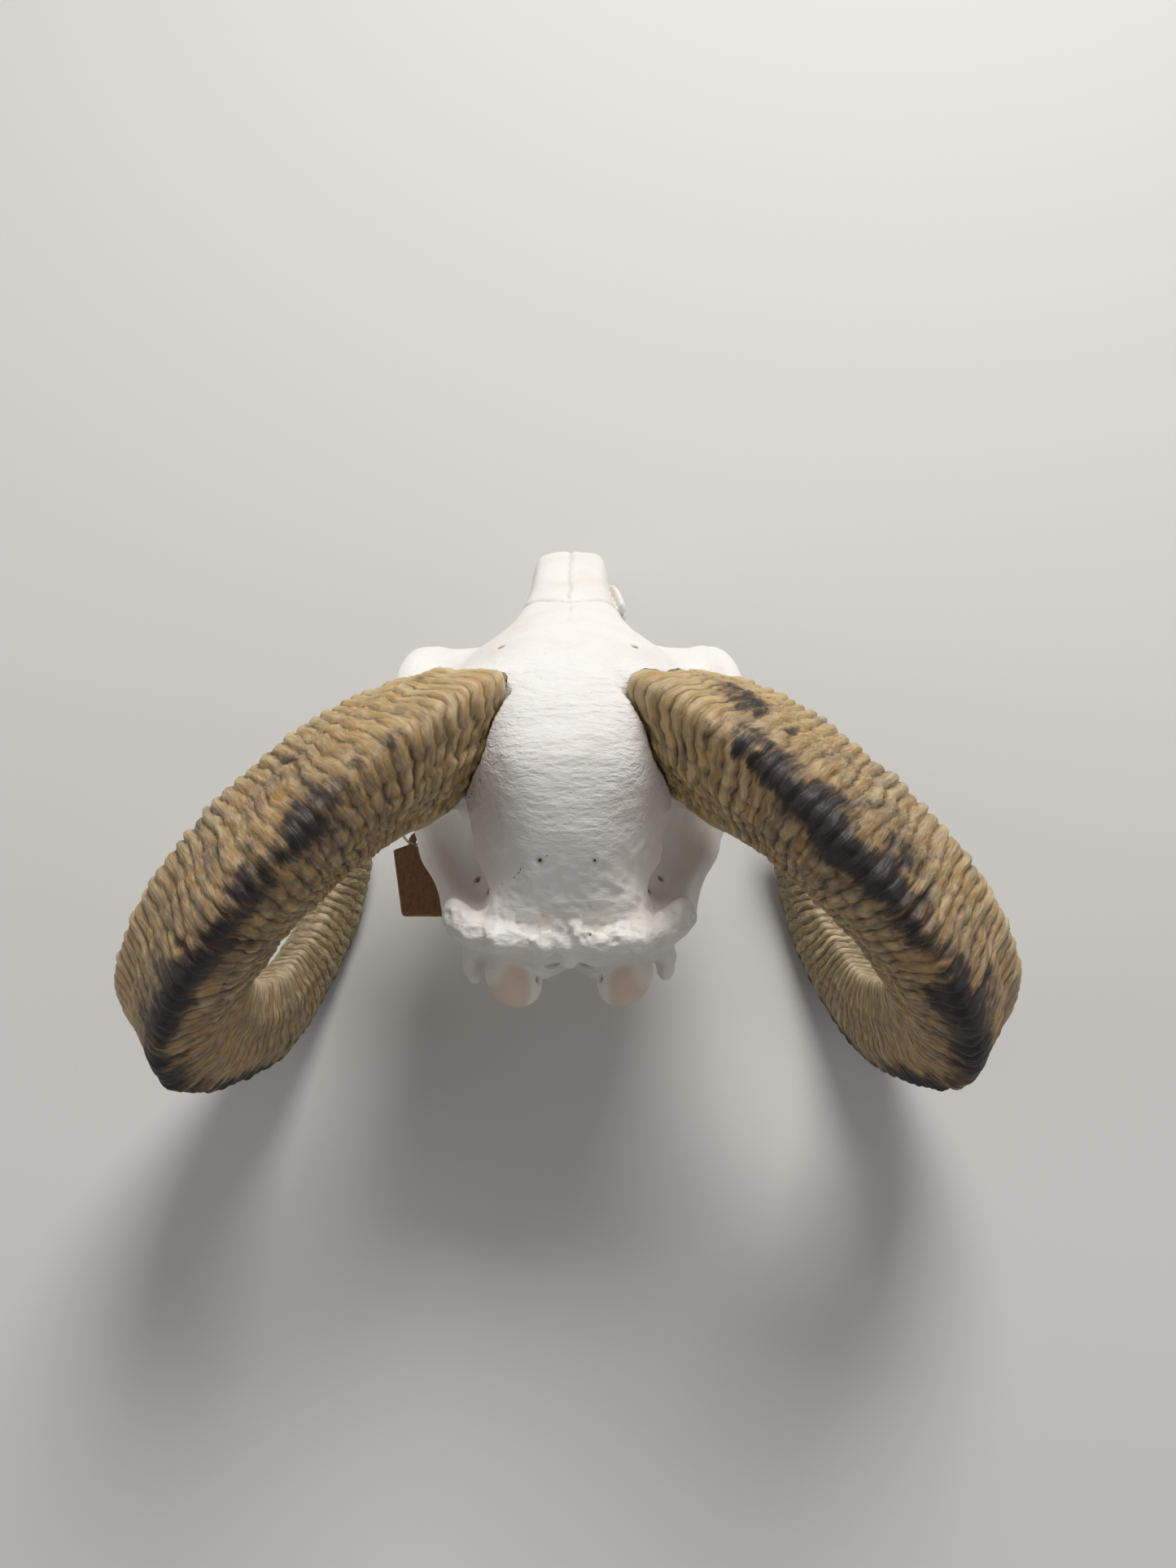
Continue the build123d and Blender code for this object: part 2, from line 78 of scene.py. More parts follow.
@dataclass(frozen=True)
class Rest:
    """How the skull lies on the table: nose down, on both curls and the snout."""

    tilt: float = 19.319                      # degrees nose-down
    shift: Place = (0.0, 110.567, 85.315)   # mm

    def turn(self, vectors: Array) -> Array:
        """Turns directions of the skull's own frame into the table's frame.

        Args:
            vectors: directions, three numbers each.

        Returns:
            The same directions, nose down.
        """
        t = math.radians(self.tilt)
        x, y, z = vectors[..., 0], vectors[..., 1], vectors[..., 2]
        return np.stack([x, y * math.cos(t) - z * math.sin(t),
                         y * math.sin(t) + z * math.cos(t)], axis=-1)

    def place(self, points: Array) -> Array:
        """Puts points of the skull's frame, in mm, on the table, in metres."""
        return (self.turn(points) + np.array(self.shift)) * MM


REST = Rest()


class Grain:
    """Repeatable noise, so that every run gives the same surface."""

    @staticmethod
    def mix(cells: Array, seed: int) -> Array:
        """A fixed number from 0 to 1 for each whole-number cell.

        Args:
            cells: whole numbers, one row of them for each cell.
            seed: picks the pattern.

        Returns:
            One number for each cell.
        """
        word = 0xFFFFFFFF           # the hash keeps 32 bits
        code = np.full(cells.shape[:-1], (seed * 668265263 + 12345) & word, dtype=np.int64)
        for axis in range(cells.shape[-1]):
            code = (code ^ (cells[..., axis] & word)) * 1274126177 & word
            code = (code ^ (code >> 15)) * 739982445 & word
            code = code ^ (code >> 13)
        return code / word

    @classmethod
    def waves(cls, points: Array, size: float | Place, seed: int = 1,
              octaves: int = 1) -> Array:
        """Soft noise from -1 to 1.

        Args:
            points: places, three numbers each, in mm.
            size: width of a bump in mm, or one width for each direction.
            seed: picks the pattern.
            octaves: how many finer layers are added, each half the size of the last.

        Returns:
            One value for each place.
        """
        total = np.zeros(points.shape[:-1])
        weight = 0.0
        for octave in range(octaves):
            q = points / np.array(size) * 2.0 ** octave + seed * 7.31
            low = np.floor(q).astype(np.int64)
            t = q - low
            t = t * t * (3.0 - 2.0 * t)
            value = np.zeros_like(total)
            for corner in range(8):
                step = np.array([corner & 1, corner >> 1 & 1, corner >> 2 & 1])
                share = np.prod(np.where(step == 1, t, 1.0 - t), axis=-1)
                value += share * cls.mix(low + step, seed + octave)
            total += (value * 2.0 - 1.0) * 0.5 ** octave
            weight += 0.5 ** octave
        return total / weight

    @classmethod
    def plates(cls, across: Array, along: Array, seed: int, loose: float = 0.75) -> Array:
        """Pebble-like plates: 0 in the gaps between them and 1 on their middles.

        Args:
            across: first coordinate, in plates.
            along: second coordinate, in plates.
            seed: picks the pattern.
            loose: how far the plates stray from an even grid, 0 to 1.

        Returns:
            Height of the plate at each place.
        """
        cell = np.stack([np.floor(across), np.floor(along)], axis=-1).astype(np.int64)
        near = np.full(across.shape, 9.0)
        second = np.full(across.shape, 9.0)
        for i in (-1, 0, 1):
            for j in (-1, 0, 1):
                here = cell + np.array([i, j])
                x = here[..., 0] + 0.5 + (cls.mix(here, seed) - 0.5) * loose
                y = here[..., 1] + 0.5 + (cls.mix(here, seed + 9) - 0.5) * loose
                away = np.hypot(across - x, along - y)
                second = np.minimum(second, np.maximum(near, away))
                near = np.minimum(near, away)
        return smooth(second - near, 0.0, 0.55)


# ---------------------------------------------------------------- materials
def linear(code: str) -> tuple[float, float, float, float]:
    """Turns an sRGB hex colour into linear light.

    Args:
        code: six hex digits.

    Returns:
        Red, green, blue and an alpha of one.
    """
    parts = [int(code[i:i + 2], 16) / 255.0 for i in (0, 2, 4)]
    parts = [p / 12.92 if p <= 0.04045 else ((p + 0.055) / 1.055) ** 2.4 for p in parts]
    return (parts[0], parts[1], parts[2], 1.0)


def add_node(material: Material, kind: str, inputs: dict | None = None,
             **settings: object) -> Shader:
    """Adds one shader node.

    Args:
        material: the material that the node goes in.
        kind: the node's type.
        inputs: for each input, a value or the output it is linked to.
        settings: the node's own properties.

    Returns:
        The new node.
    """
    node = material.node_tree.nodes.new(kind)
    for name, value in settings.items():
        setattr(node, name, value)
    for name, value in (inputs or {}).items():
        socket = node.inputs[name]
        if isinstance(value, Socket):
            material.node_tree.links.new(value, socket)
        else:
            socket.default_value = value
    return node


class Finish:
    """A material that the object is made of, drawn with shader nodes."""

    name = "finish"
    _made: dict[str, Material] = {}

    def material(self) -> Material:
        """The material, made the first time it is asked for.

        Returns:
            The material with its nodes.
        """
        if self.name not in self._made:
            made = bpy.data.materials.new(self.name)
            made.use_nodes = True
            made.node_tree.nodes.clear()
            shader = self.shade(made)
            add_node(made, "ShaderNodeOutputMaterial", {"Surface": shader.outputs[0]})
            self._made[self.name] = made
        return self._made[self.name]

    def shade(self, made: Material) -> Shader:
        """Draws the surface in the material and returns its shader node."""
        raise NotImplementedError

    def value(self, made: Material, name: str) -> Socket:
        """The mesh's own painted value of that name."""
        return add_node(made, "ShaderNodeAttribute", attribute_name=name).outputs["Fac"]

    def blend(self, made: Material, share: object, first: object,
              second: object) -> Socket:
        """A colour between two.

        Args:
            made: the material.
            share: 0 for the first colour and 1 for the second, a number or an output.
            first: a colour or an output.
            second: a colour or an output.

        Returns:
            The mixed colour's output.
        """
        mix = add_node(made, "ShaderNodeMix", data_type="RGBA")
        for index, value in ((0, share), (6, first), (7, second)):
            if isinstance(value, Socket):
                made.node_tree.links.new(value, mix.inputs[index])
            else:
                mix.inputs[index].default_value = value
        return mix.outputs[2]

    def fit(self, made: Material, source: Socket, low: float,
            high: float, to_low: float = 0.0, to_high: float = 1.0) -> Socket:
        """Stretches a value from one range to another.

        Args:
            made: the material.
            source: the value.
            low: its lowest used value.
            high: its highest used value.
            to_low: what low becomes.
            to_high: what high becomes.

        Returns:
            The new value's output.
        """
        return add_node(made, "ShaderNodeMapRange",
                        {"Value": source, "From Min": low, "From Max": high,
                         "To Min": to_low, "To Max": to_high}).outputs["Result"]


@dataclass(frozen=True)
class BleachedBone(Finish):
    """Bone, degreased and bleached in peroxide: chalky white, faintly cream, open-grained."""

    name: str = "bone_bleached"
    white: str = "E9E6DF"
    # cream is also laid as painted shade in hollows and under the horns
    cream: str = "D8CDBA"
    peach: str = "D8BCA4"         # joint cartilage dried on the condyles
    hole_shade_and_seams: str = "8F7B60"         # painted shade in and round the small nerve holes, and the darker suture lines
    wrinkle_mm: float = 1.1       # between the fine wrinkles near the horns
    pore_mm: float = 0.9          # open pores; drawn a little coarse, so that they show
    rough: float = 0.62

    def shade(self, made: Material) -> Shader:
        """Draws chalky bone with wrinkles, pores, slight cream patches, and painted shade in
        hollows, under the horns and round nerve holes.

        Args:
            made: the material to draw in.

        Returns:
            The surface's shader node.
        """
        place = add_node(made, "ShaderNodeTexCoord").outputs["Object"]
        wide = add_node(made, "ShaderNodeMapping",
                        {"Vector": place, "Scale": (0.35, 1.0, 1.0)}).outputs["Vector"]
        clouds = add_node(made, "ShaderNodeTexNoise",
                          {"Vector": place, "Scale": 1000 / 28.0, "Detail": 3.0}).outputs["Fac"]
        wrinkles = add_node(made, "ShaderNodeTexNoise",
                            {"Vector": wide, "Scale": 1000 / (self.wrinkle_mm * 2.2),
                             "Detail": 3.0, "Roughness": 0.55,
                             "Distortion": 0.4}).outputs["Fac"]
        grit = add_node(made, "ShaderNodeTexNoise",
                        {"Vector": place, "Scale": 1000 / 0.7, "Detail": 2.0}).outputs["Fac"]
        pores = add_node(made, "ShaderNodeTexVoronoi",
                         {"Vector": place, "Scale": 1000 / (self.pore_mm * 3.0)}
                         ).outputs["Distance"]
        cream = self.fit(made, clouds, 0.48, 0.75, 0.0, 0.45)
        colour = self.blend(made, cream, linear(self.white), linear(self.cream))
        # the painted cream value is painted shade: darker cream in hollows and under the horns
        colour = self.blend(made, self.fit(made, self.value(made, "cream"), 0.0, 1.0, 0.0, 0.8),
                            colour, linear(self.cream))
        dots = self.fit(made, pores, 0.05, 0.22, 0.35, 0.0)
        colour = self.blend(made, dots, colour, linear(self.cream))
        colour = self.blend(made, self.value(made, "peach"), colour, linear(self.peach))
        # painted shade in and round the nerve holes, and the bone's own darker suture lines
        colour = self.blend(made, self.value(made, "hole_shade_and_seams"), colour, linear(self.hole_shade_and_seams))
        rough = self.value(made, "wrinkled")
        depth = add_node(made, "ShaderNodeMath", {0: wrinkles, 1: rough},
                         operation="MULTIPLY").outputs[0]
        bump = add_node(made, "ShaderNodeBump",
                        {"Height": depth, "Strength": 0.9, "Distance": 0.0012})
        fine = add_node(made, "ShaderNodeBump",
                        {"Height": grit, "Normal": bump.outputs[0], "Strength": 0.35,
                         "Distance": 0.0002})
        holes = add_node(made, "ShaderNodeBump",
                         {"Height": self.fit(made, pores, 0.05, 0.2), "Strength": 0.25,
                          "Normal": fine.outputs[0], "Distance": 0.0003})
        return add_node(made, "ShaderNodeBsdfPrincipled",
                        {"Base Color": colour, "Normal": holes.outputs[0],
                         "Roughness": self.rough, "IOR": 1.55,
                         "Subsurface Weight": 0.08, "Subsurface Radius": (1.0, 0.7, 0.5),
                         "Subsurface Scale": 0.0015})


@dataclass(frozen=True)
class InnerBone(Finish):
    """Thin bone inside the nose and the horn's core: drier and yellower than the outside."""

    name: str = "bone_inner_porous"
    pale: str = "DDD2BD"
    deep: str = "B39D7C"
    hole: str = "6F5C42"
    pore_mm: float = 1.6          # vessel holes in spongy bone
    rough: float = 0.75

    def shade(self, made: Material) -> Shader:
        """Draws porous, slightly yellow bone.

        Args:
            made: the material to draw in.

        Returns:
            The surface's shader node.
        """
        place = add_node(made, "ShaderNodeTexCoord").outputs["Object"]
        clouds = add_node(made, "ShaderNodeTexNoise",
                          {"Vector": place, "Scale": 1000 / 9.0, "Detail": 4.0}).outputs["Fac"]
        pores = add_node(made, "ShaderNodeTexVoronoi",
                         {"Vector": place, "Scale": 1000 / (self.pore_mm * 2.0)}
                         ).outputs["Distance"]
        colour = self.blend(made, self.fit(made, clouds, 0.35, 0.75), linear(self.pale),
                            linear(self.deep))
        colour = self.blend(made, self.fit(made, pores, 0.05, 0.25, 0.7, 0.0), colour,
                            linear(self.hole))
        bump = add_node(made, "ShaderNodeBump",
                        {"Height": self.fit(made, pores, 0.0, 0.3), "Strength": 0.6,
                         "Distance": 0.0006})
        return add_node(made, "ShaderNodeBsdfPrincipled",
                        {"Base Color": colour, "Normal": bump.outputs[0],
                         "Roughness": self.rough, "IOR": 1.55})


@dataclass(frozen=True)
class ToothEnamel(Finish):
    """Enamel over dentine, worn by grazing: ivory, glossier than bone, brown in its folds."""

    name: str = "tooth_enamel_worn"
    ivory: str = "E6DCC4"
    brown: str = "8A6C43"
    rough: float = 0.32

    def shade(self, made: Material) -> Shader:
        """Draws ivory enamel with upright stain lines.

        Args:
            made: the material to draw in.

        Returns:
            The surface's shader node.
        """
        place = add_node(made, "ShaderNodeTexCoord").outputs["Object"]
        upright = add_node(made, "ShaderNodeMapping",
                           {"Vector": place, "Scale": (1.0, 1.0, 0.25)}).outputs["Vector"]
        lines = add_node(made, "ShaderNodeTexNoise",
                         {"Vector": upright, "Scale": 1000 / 2.5, "Detail": 3.0}).outputs["Fac"]
        colour = self.blend(made, self.fit(made, lines, 0.5, 0.8, 0.0, 0.8),
                            linear(self.ivory), linear(self.brown))
        bump = add_node(made, "ShaderNodeBump",
                        {"Height": lines, "Strength": 0.3, "Distance": 0.0004})
        return add_node(made, "ShaderNodeBsdfPrincipled",
                        {"Base Color": colour, "Normal": bump.outputs[0],
                         "Roughness": self.rough, "IOR": 1.62})


@dataclass(frozen=True)
class HornKeratin(Finish):
    """Horn keratin, grown in stacked sheets and weathered: ochre, tan and near-black."""

    name: str = "horn_keratin_weathered"
    ochre: str = "A98148"
    tan: str = "8D7859"
    pale: str = "D6C5A0"
    # olive is the older horn's own tone; on the underside it is painted shade
    olive_and_underside_shade: str = "7C6B47"
    young: str = "C8A76B"         # the newest horn, at the skull
    brown: str = "59432E"
    dark: str = "211C19"
    # painted shade in growth grooves, plate gaps and cracks
    groove_shade: str = "3A2A1A"
    ridge_mm: float = 1.3         # between the finest growth lines
    rough: float = 0.58

    def shade(self, made: Material) -> Shader:
        """Draws layered horn: tones painted on the mesh, painted shade in grooves and on the
        underside, painted highlight on ridge crests, broken up by growth lines.

        Args:
            made: the material to draw in.

        Returns:
            The surface's shader node.
        """
        run = add_node(made, "ShaderNodeAttribute", attribute_name="run").outputs["Vector"]
        place = add_node(made, "ShaderNodeTexCoord").outputs["Object"]
        crosswise = add_node(made, "ShaderNodeMapping",
                             {"Vector": run, "Scale": (1 / self.ridge_mm, 1 / 9.0, 1 / 9.0)}
                             ).outputs["Vector"]
        lengthwise = add_node(made, "ShaderNodeMapping",
                              {"Vector": run, "Scale": (1 / 7.0, 1 / 0.9, 1 / 0.9)}
                              ).outputs["Vector"]
        lines = add_node(made, "ShaderNodeTexNoise",
                         {"Vector": crosswise, "Scale": 1.0, "Detail": 3.0,
                          "Distortion": 0.5}).outputs["Fac"]
        fibres = add_node(made, "ShaderNodeTexNoise",
                          {"Vector": lengthwise, "Scale": 1.0, "Detail": 3.0}).outputs["Fac"]
        blotch = add_node(made, "ShaderNodeTexNoise",
                          {"Vector": place, "Scale": 1000 / 14.0, "Detail": 5.0,
                           "Roughness": 0.6}).outputs["Fac"]
        colour = self.blend(made, self.fit(made, blotch, 0.36, 0.66), linear(self.ochre),
                            linear(self.tan))
        colour = self.blend(made, self.value(made, "olive_and_underside_shade"), colour, linear(self.olive_and_underside_shade))
        colour = self.blend(made, self.value(made, "young"), colour, linear(self.young))
        colour = self.blend(made, self.fit(made, lines, 0.42, 0.72, 0.0, 0.6), colour,
                            linear(self.pale))
        # pale rim flakes are the horn's own; the paler ridge crests are painted highlight
        colour = self.blend(made, self.value(made, "flake_and_ridge_highlight"), colour, linear(self.pale))
        streak = add_node(made, "ShaderNodeMath",
                          {0: self.value(made, "streak"),
                           1: self.fit(made, blotch, 0.3, 0.7, -0.35, 0.35)},
                          operation="ADD").outputs[0]
        streak = add_node(made, "ShaderNodeMath",
                          {0: streak, 1: self.fit(made, lines, 0.3, 0.7, -0.25, 0.25)},
                          operation="ADD").outputs[0]
        colour = self.blend(made, self.fit(made, streak, 0.18, 0.6, 0.0, 0.85), colour,
                            linear(self.brown))
        colour = self.blend(made, self.fit(made, streak, 0.42, 0.85), colour,
                            linear(self.dark))
        # painted shade in the grooves between growth ridges, the gaps between plates and the
        # cracks
        colour = self.blend(made, self.value(made, "groove_shade"), colour, linear(self.groove_shade))
        bump = add_node(made, "ShaderNodeBump",
                        {"Height": lines, "Strength": 0.9, "Distance": 0.001})
        fine = add_node(made, "ShaderNodeBump",
                        {"Height": fibres, "Normal": bump.outputs[0], "Strength": 0.35,
                         "Distance": 0.0004})
        return add_node(made, "ShaderNodeBsdfPrincipled",
                        {"Base Color": colour, "Normal": fine.outputs[0],
                         "Roughness": self.rough, "IOR": 1.55,
                         "Subsurface Weight": 0.06, "Subsurface Radius": (1.0, 0.6, 0.3),
                         "Subsurface Scale": 0.002})


@dataclass(frozen=True)
class KraftCard(Finish):
    """Kraft card, die-cut: brown, darkened as painted shade, matt, with short fibres and a paler
    worn edge.
    """

    name: str = "card_kraft_die_cut"
    # kraft brown made deeper than the card's own colour, as painted shade for the shade it hangs
    # in
    brown: str = "7E5C3D"
    flecks: str = "5E442C"
    edge: str = "B89A78"
    fibre_mm: float = 0.5         # width of a fibre bundle
    rough: float = 0.85

    def shade(self, made: Material) -> Shader:
        """Draws brown card with fibre flecks and pale edges.

        Args:
            made: the material to draw in.

        Returns:
            The surface's shader node.
        """
        place = add_node(made, "ShaderNodeTexCoord").outputs["Object"]
        long = add_node(made, "ShaderNodeMapping",
                        {"Vector": place, "Scale": (1.0, 0.25, 0.25)}).outputs["Vector"]
        fibres = add_node(made, "ShaderNodeTexNoise",
                          {"Vector": long, "Scale": 1000 / (self.fibre_mm * 2), "Detail": 4.0,
                           "Distortion": 1.2}).outputs["Fac"]
        colour = self.blend(made, self.fit(made, fibres, 0.4, 0.75), linear(self.brown),
                            linear(self.flecks))
        colour = self.blend(made, self.value(made, "edge"), colour, linear(self.edge))
        bump = add_node(made, "ShaderNodeBump",
                        {"Height": fibres, "Strength": 0.3, "Distance": 0.0001})
        return add_node(made, "ShaderNodeBsdfPrincipled",
                        {"Base Color": colour, "Normal": bump.outputs[0],
                         "Roughness": self.rough, "IOR": 1.5})


@dataclass(frozen=True)
class ClearPlastic(Finish):
    """Soft clear plastic, moulded in a thin loop: see-through grey with bright glints."""

    name: str = "plastic_clear_moulded"
    tint: str = "C9CDD0"
    rough: float = 0.12

    def shade(self, made: Material) -> Shader:
        """Draws clear plastic, a little uneven along its length.

        Args:
            made: the material to draw in.

        Returns:
            The surface's shader node.
        """
        place = add_node(made, "ShaderNodeTexCoord").outputs["Object"]
        waves = add_node(made, "ShaderNodeTexNoise",
                         {"Vector": place, "Scale": 1000 / 3.0}).outputs["Fac"]
        bump = add_node(made, "ShaderNodeBump",
                        {"Height": waves, "Strength": 0.2, "Distance": 0.0002})
        return add_node(made, "ShaderNodeBsdfPrincipled",
                        {"Base Color": linear(self.tint), "Normal": bump.outputs[0],
                         "Roughness": self.rough, "IOR": 1.49,
                         "Transmission Weight": 0.7})


@dataclass(frozen=True)
class StudioPaint(Finish):
    """Matt paint on the studio's floor."""

    name: str = "studio_floor_matt"
    colour: str = "CFCDC8"

    def shade(self, made: Material) -> Shader:
        """Draws an even matt floor."""
        return add_node(made, "ShaderNodeBsdfPrincipled",
                        {"Base Color": linear(self.colour), "Roughness": 0.9})


BONE = BleachedBone()
INNER_BONE = InnerBone()
ENAMEL = ToothEnamel()
KERATIN = HornKeratin()
KRAFT = KraftCard()
PLASTIC = ClearPlastic()


# ---------------------------------------------------------------- meshes
def make_piece(name: str, points: Array, faces: list, finish: Finish,
               painted: dict[str, Array] | None = None,
               normals: Array | None = None) -> Piece:
    """Makes one visible piece.

    Args:
        name: the piece's name.
        points: its corners in the table's frame, in metres.
        faces: corner numbers of each face.
        finish: its material.
        painted: values painted on the corners, by name.
        normals: the way the surface faces at each corner, where it isn't left to the faces.

    Returns:
        The piece, linked in the scene.
    """
    mesh = bpy.data.meshes.new(name)
    mesh.from_pydata(points.tolist(), [], faces)
    for label, values in (painted or {}).items():
        kind, entry = ("FLOAT", "value") if values.ndim == 1 else ("FLOAT_VECTOR", "vector")
        layer = mesh.attributes.new(label, kind, "POINT")
        layer.data.foreach_set(entry, np.ascontiguousarray(values, dtype=np.float32).ravel())
    mesh.polygons.foreach_set("use_smooth", [True] * len(mesh.polygons))
    mesh.update()
    if normals is not None:
        mesh.normals_split_custom_set_from_vertices(normals.tolist())
    mesh.materials.append(finish.material())
    made = bpy.data.objects.new(name, mesh)
    bpy.context.scene.collection.objects.link(made)
    return made


def grid_faces(rows: int, columns: int, start: int = 0, flip: bool = False) -> list:
    """Faces of a tube's grid of corners.

    Args:
        rows: rings of corners along the tube.
        columns: corners in a ring.
        start: number of the first corner.
        flip: whether the faces look inwards.

    Returns:
        Four corner numbers for each face.
    """
    i, j = np.meshgrid(np.arange(rows - 1), np.arange(columns), indexing="ij")
    k = (j + 1) % columns
    quad = np.stack([i * columns + j, i * columns + k, (i + 1) * columns + k,
                     (i + 1) * columns + j], axis=-1).reshape(-1, 4) + start
    return (quad[:, ::-1] if flip else quad).tolist()


def fan_faces(ring: Array, tip: int, flip: bool = False) -> list:
    """Triangles from a ring of corners to one corner.

    Args:
        ring: corner numbers round the edge.
        tip: number of the corner that they all meet.
        flip: whether the faces look the other way.

    Returns:
        Three corner numbers for each face.
    """
    after = np.roll(ring, -1)
    fan = np.stack([ring, after, np.full_like(ring, tip)], axis=-1)
    return (fan[:, ::-1] if flip else fan).tolist()


# ---------------------------------------------------------------- the horns' shared form
class Side(Enum):
    """The animal's own left and right."""

    LEFT = 1
    RIGHT = -1


@dataclass(frozen=True)
class HornForm:
    """The line and the section of the left horn, in the skull's frame; the right mirrors it."""

    radius: float = 88.0                        # mm, of the coil
    corner_mm: float = 34.0                     # middle line to a corner, at the skull
    tip_mm: float = 2.6
    length_turn: float = 280.0                  # degrees, skull to tip
    even_turn: float = 170.0                    # degrees on an even circle
    drift: float = 77.0                         # mm, of the tip to the side
    close: float = 41.0                         # mm, of the tip towards the axis
    rim_turn: float = 5.0                       # degrees at which the rim stands
    centre: Place = (93.79, -43.88, 25.22)
    axis: Place = (0.701, -0.675, 0.230)
    start: Place = (-0.510, -0.249, 0.824)
    ahead: Place = (0.499, 0.695, 0.518)
    rim_normal: Place = (0.48, 0.62, 0.62)
    angles: tuple[float, ...] = (-35.7, 7.9, 51.5, 117.25, 183.0, 253.65)
    reaches: tuple[float, ...] = (1.06, 0.86, 0.77, 0.72, 0.97, 0.69)
    spread: float = 0.29                        # more reach of the brow edge at the elbow
    beak: float = 0.12                          # more reach of the keel at the rim
    sharp: tuple[float, ...] = (0.09, 0.0, 0.07, 0.0, 0.10, 0.0)    # crests on the corners
    twist_start: float = 38.0                   # degrees of twist at the skull
    twist_turn: float = 185.0                   # degrees at which the twist has run out

    def line(self, turn: Array) -> Array:
        """Places on the horn's middle line.

        Args:
            turn: degrees along the coil.

        Returns:
            The places in mm.
        """
        t = np.radians(turn)[..., None]
        late = np.clip((turn - self.even_turn) / (self.length_turn - self.even_turn), 0.0, 1.3)
        radius = (self.radius - self.close * late ** 1.95)[..., None]
        flat = unit(np.array(self.start)) * np.cos(t) + unit(np.array(self.ahead)) * np.sin(t)
        sideways = unit(np.array(self.axis)) * (self.drift * late ** 1.3)[..., None]
        return np.array(self.centre) + flat * radius + sideways

    def axes(self, turn: Array) -> tuple[Array, Array, Array]:
        """The directions of the section at each turn.

        Args:
            turn: degrees along the coil.

        Returns:
            The way along the horn, the way out from the coil, and the way across both.
        """
        here = self.line(turn)
        along = unit(self.line(turn + 1.0) - self.line(turn - 1.0))
        middle = np.array(self.centre) + unit(np.array(self.axis)) * (self.drift * 0.3)
        out = here - middle
        out = unit(out - along * (out * along).sum(axis=-1, keepdims=True))
        return along, out, np.cross(along, out)

    def corner(self, turn: Array) -> Array:
        """Middle line to a corner of the section, in mm."""
        share = np.clip(turn / self.length_turn, 0.0, 1.0)
        return self.tip_mm + (self.corner_mm - self.tip_mm) * (1 - share ** 1.45) ** 0.75

    def twist(self, turn: Array) -> Array:
        """Degrees that the section is turned round the middle line."""
        return self.twist_start * np.clip(1 - turn / self.twist_turn, 0.0, None) ** 0.8

    def _curve(self, values: tuple[float, ...], angle: Array) -> Array:
        """A closed smooth curve through one value at each of the section's angles.

        Args:
            values: what the curve passes through.
            angle: degrees round the section.

        Returns:
            The curve's value at each angle.
        """
        knots = np.array(self.angles)
        knots = np.concatenate([knots[-2:] - 360.0, knots, knots[:2] + 360.0])
        v = np.array(values)
        v = np.concatenate([v[-2:], v, v[:2]])
        slope = np.zeros_like(v)
        slope[1:-1] = (v[2:] - v[:-2]) / (knots[2:] - knots[:-2])
        inside = (angle - knots[1]) % 360.0 + knots[1]
        i = np.clip(np.searchsorted(knots, inside, side="right") - 1, 1, len(knots) - 3)
        span = knots[i + 1] - knots[i]
        t = (inside - knots[i]) / span
        return ((2 * t ** 3 - 3 * t ** 2 + 1) * v[i]
                + (t ** 3 - 2 * t ** 2 + t) * span * slope[i]
                + (3 * t ** 2 - 2 * t ** 3) * v[i + 1] + (t ** 3 - t ** 2) * span * slope[i + 1])

    def reach(self, turn: Array, angle: Array) -> Array:
        """Middle line to the surface, in mm.

        Args:
            turn: degrees along the coil.
            angle: degrees round the section, from its outward side, before its twist.

        Returns:
            The distance at each place.
        """
        spread = self.spread * np.clip(turn / 150.0, 0.0, 1.0)
        even = self._curve(self.reaches, angle)
        edge = self._curve((0, 0, 1, 0, 0, 0), angle)
        for at, crest in zip(self.angles, self.sharp):
            off = (angle - at + 180.0) % 360.0 - 180.0
            even = even + crest * gauss(off, 10.0) - 0.5 * crest * gauss(np.abs(off) - 26.0, 13.0)
        off = (angle - self.angles[0] + 180.0) % 360.0 - 180.0
        beak = self.beak * gauss(off, 15.0) * (1 - smooth(turn, -5.0, 28.0))
        return self.corner(turn) * (even + spread * edge + beak)

    def surface(self, turn: Array, angle: Array, radius: Array) -> tuple[Array, Array]:
        """Places round the middle line, and the way out at each.

        Args:
            turn: degrees along the coil.
            angle: degrees round the section, before its twist.
            radius: distance from the middle line, in mm.

        Returns:
            The places in mm, and directions.
        """
        _, out, across = self.axes(turn)
        a = np.radians(angle + self.twist(turn))[..., None]
        way = out * np.cos(a) + across * np.sin(a)
        return self.line(turn) + way * radius[..., None], way

    def above_rim(self, points: Array, gap: float = 0.0) -> Array:
        """Height of points over the rim's plane, in mm, less a gap."""
        origin = self.line(np.array(self.rim_turn))
        return (points - origin) @ unit(np.array(self.rim_normal)) - gap

    def rim_turns(self, angle: Array, radius: Array | None, gap: float) -> Array:
        """The turn at which each line along the horn crosses the rim's plane.

        Args:
            angle: degrees round the section.
            radius: distance from the middle line in mm, or None for the horn's own surface.
            gap: height over the rim's plane, in mm.

        Returns:
            Degrees along the coil, for each angle.
        """
        low, high = np.full_like(angle, -40.0), np.full_like(angle, 60.0)
        for _ in range(30):
            middle = (low + high) / 2
            reach = self.reach(middle, angle) if radius is None else radius
            under = self.above_rim(self.surface(middle, angle, reach)[0], gap) < 0
            low, high = np.where(under, middle, low), np.where(under, high, middle)
        return (low + high) / 2

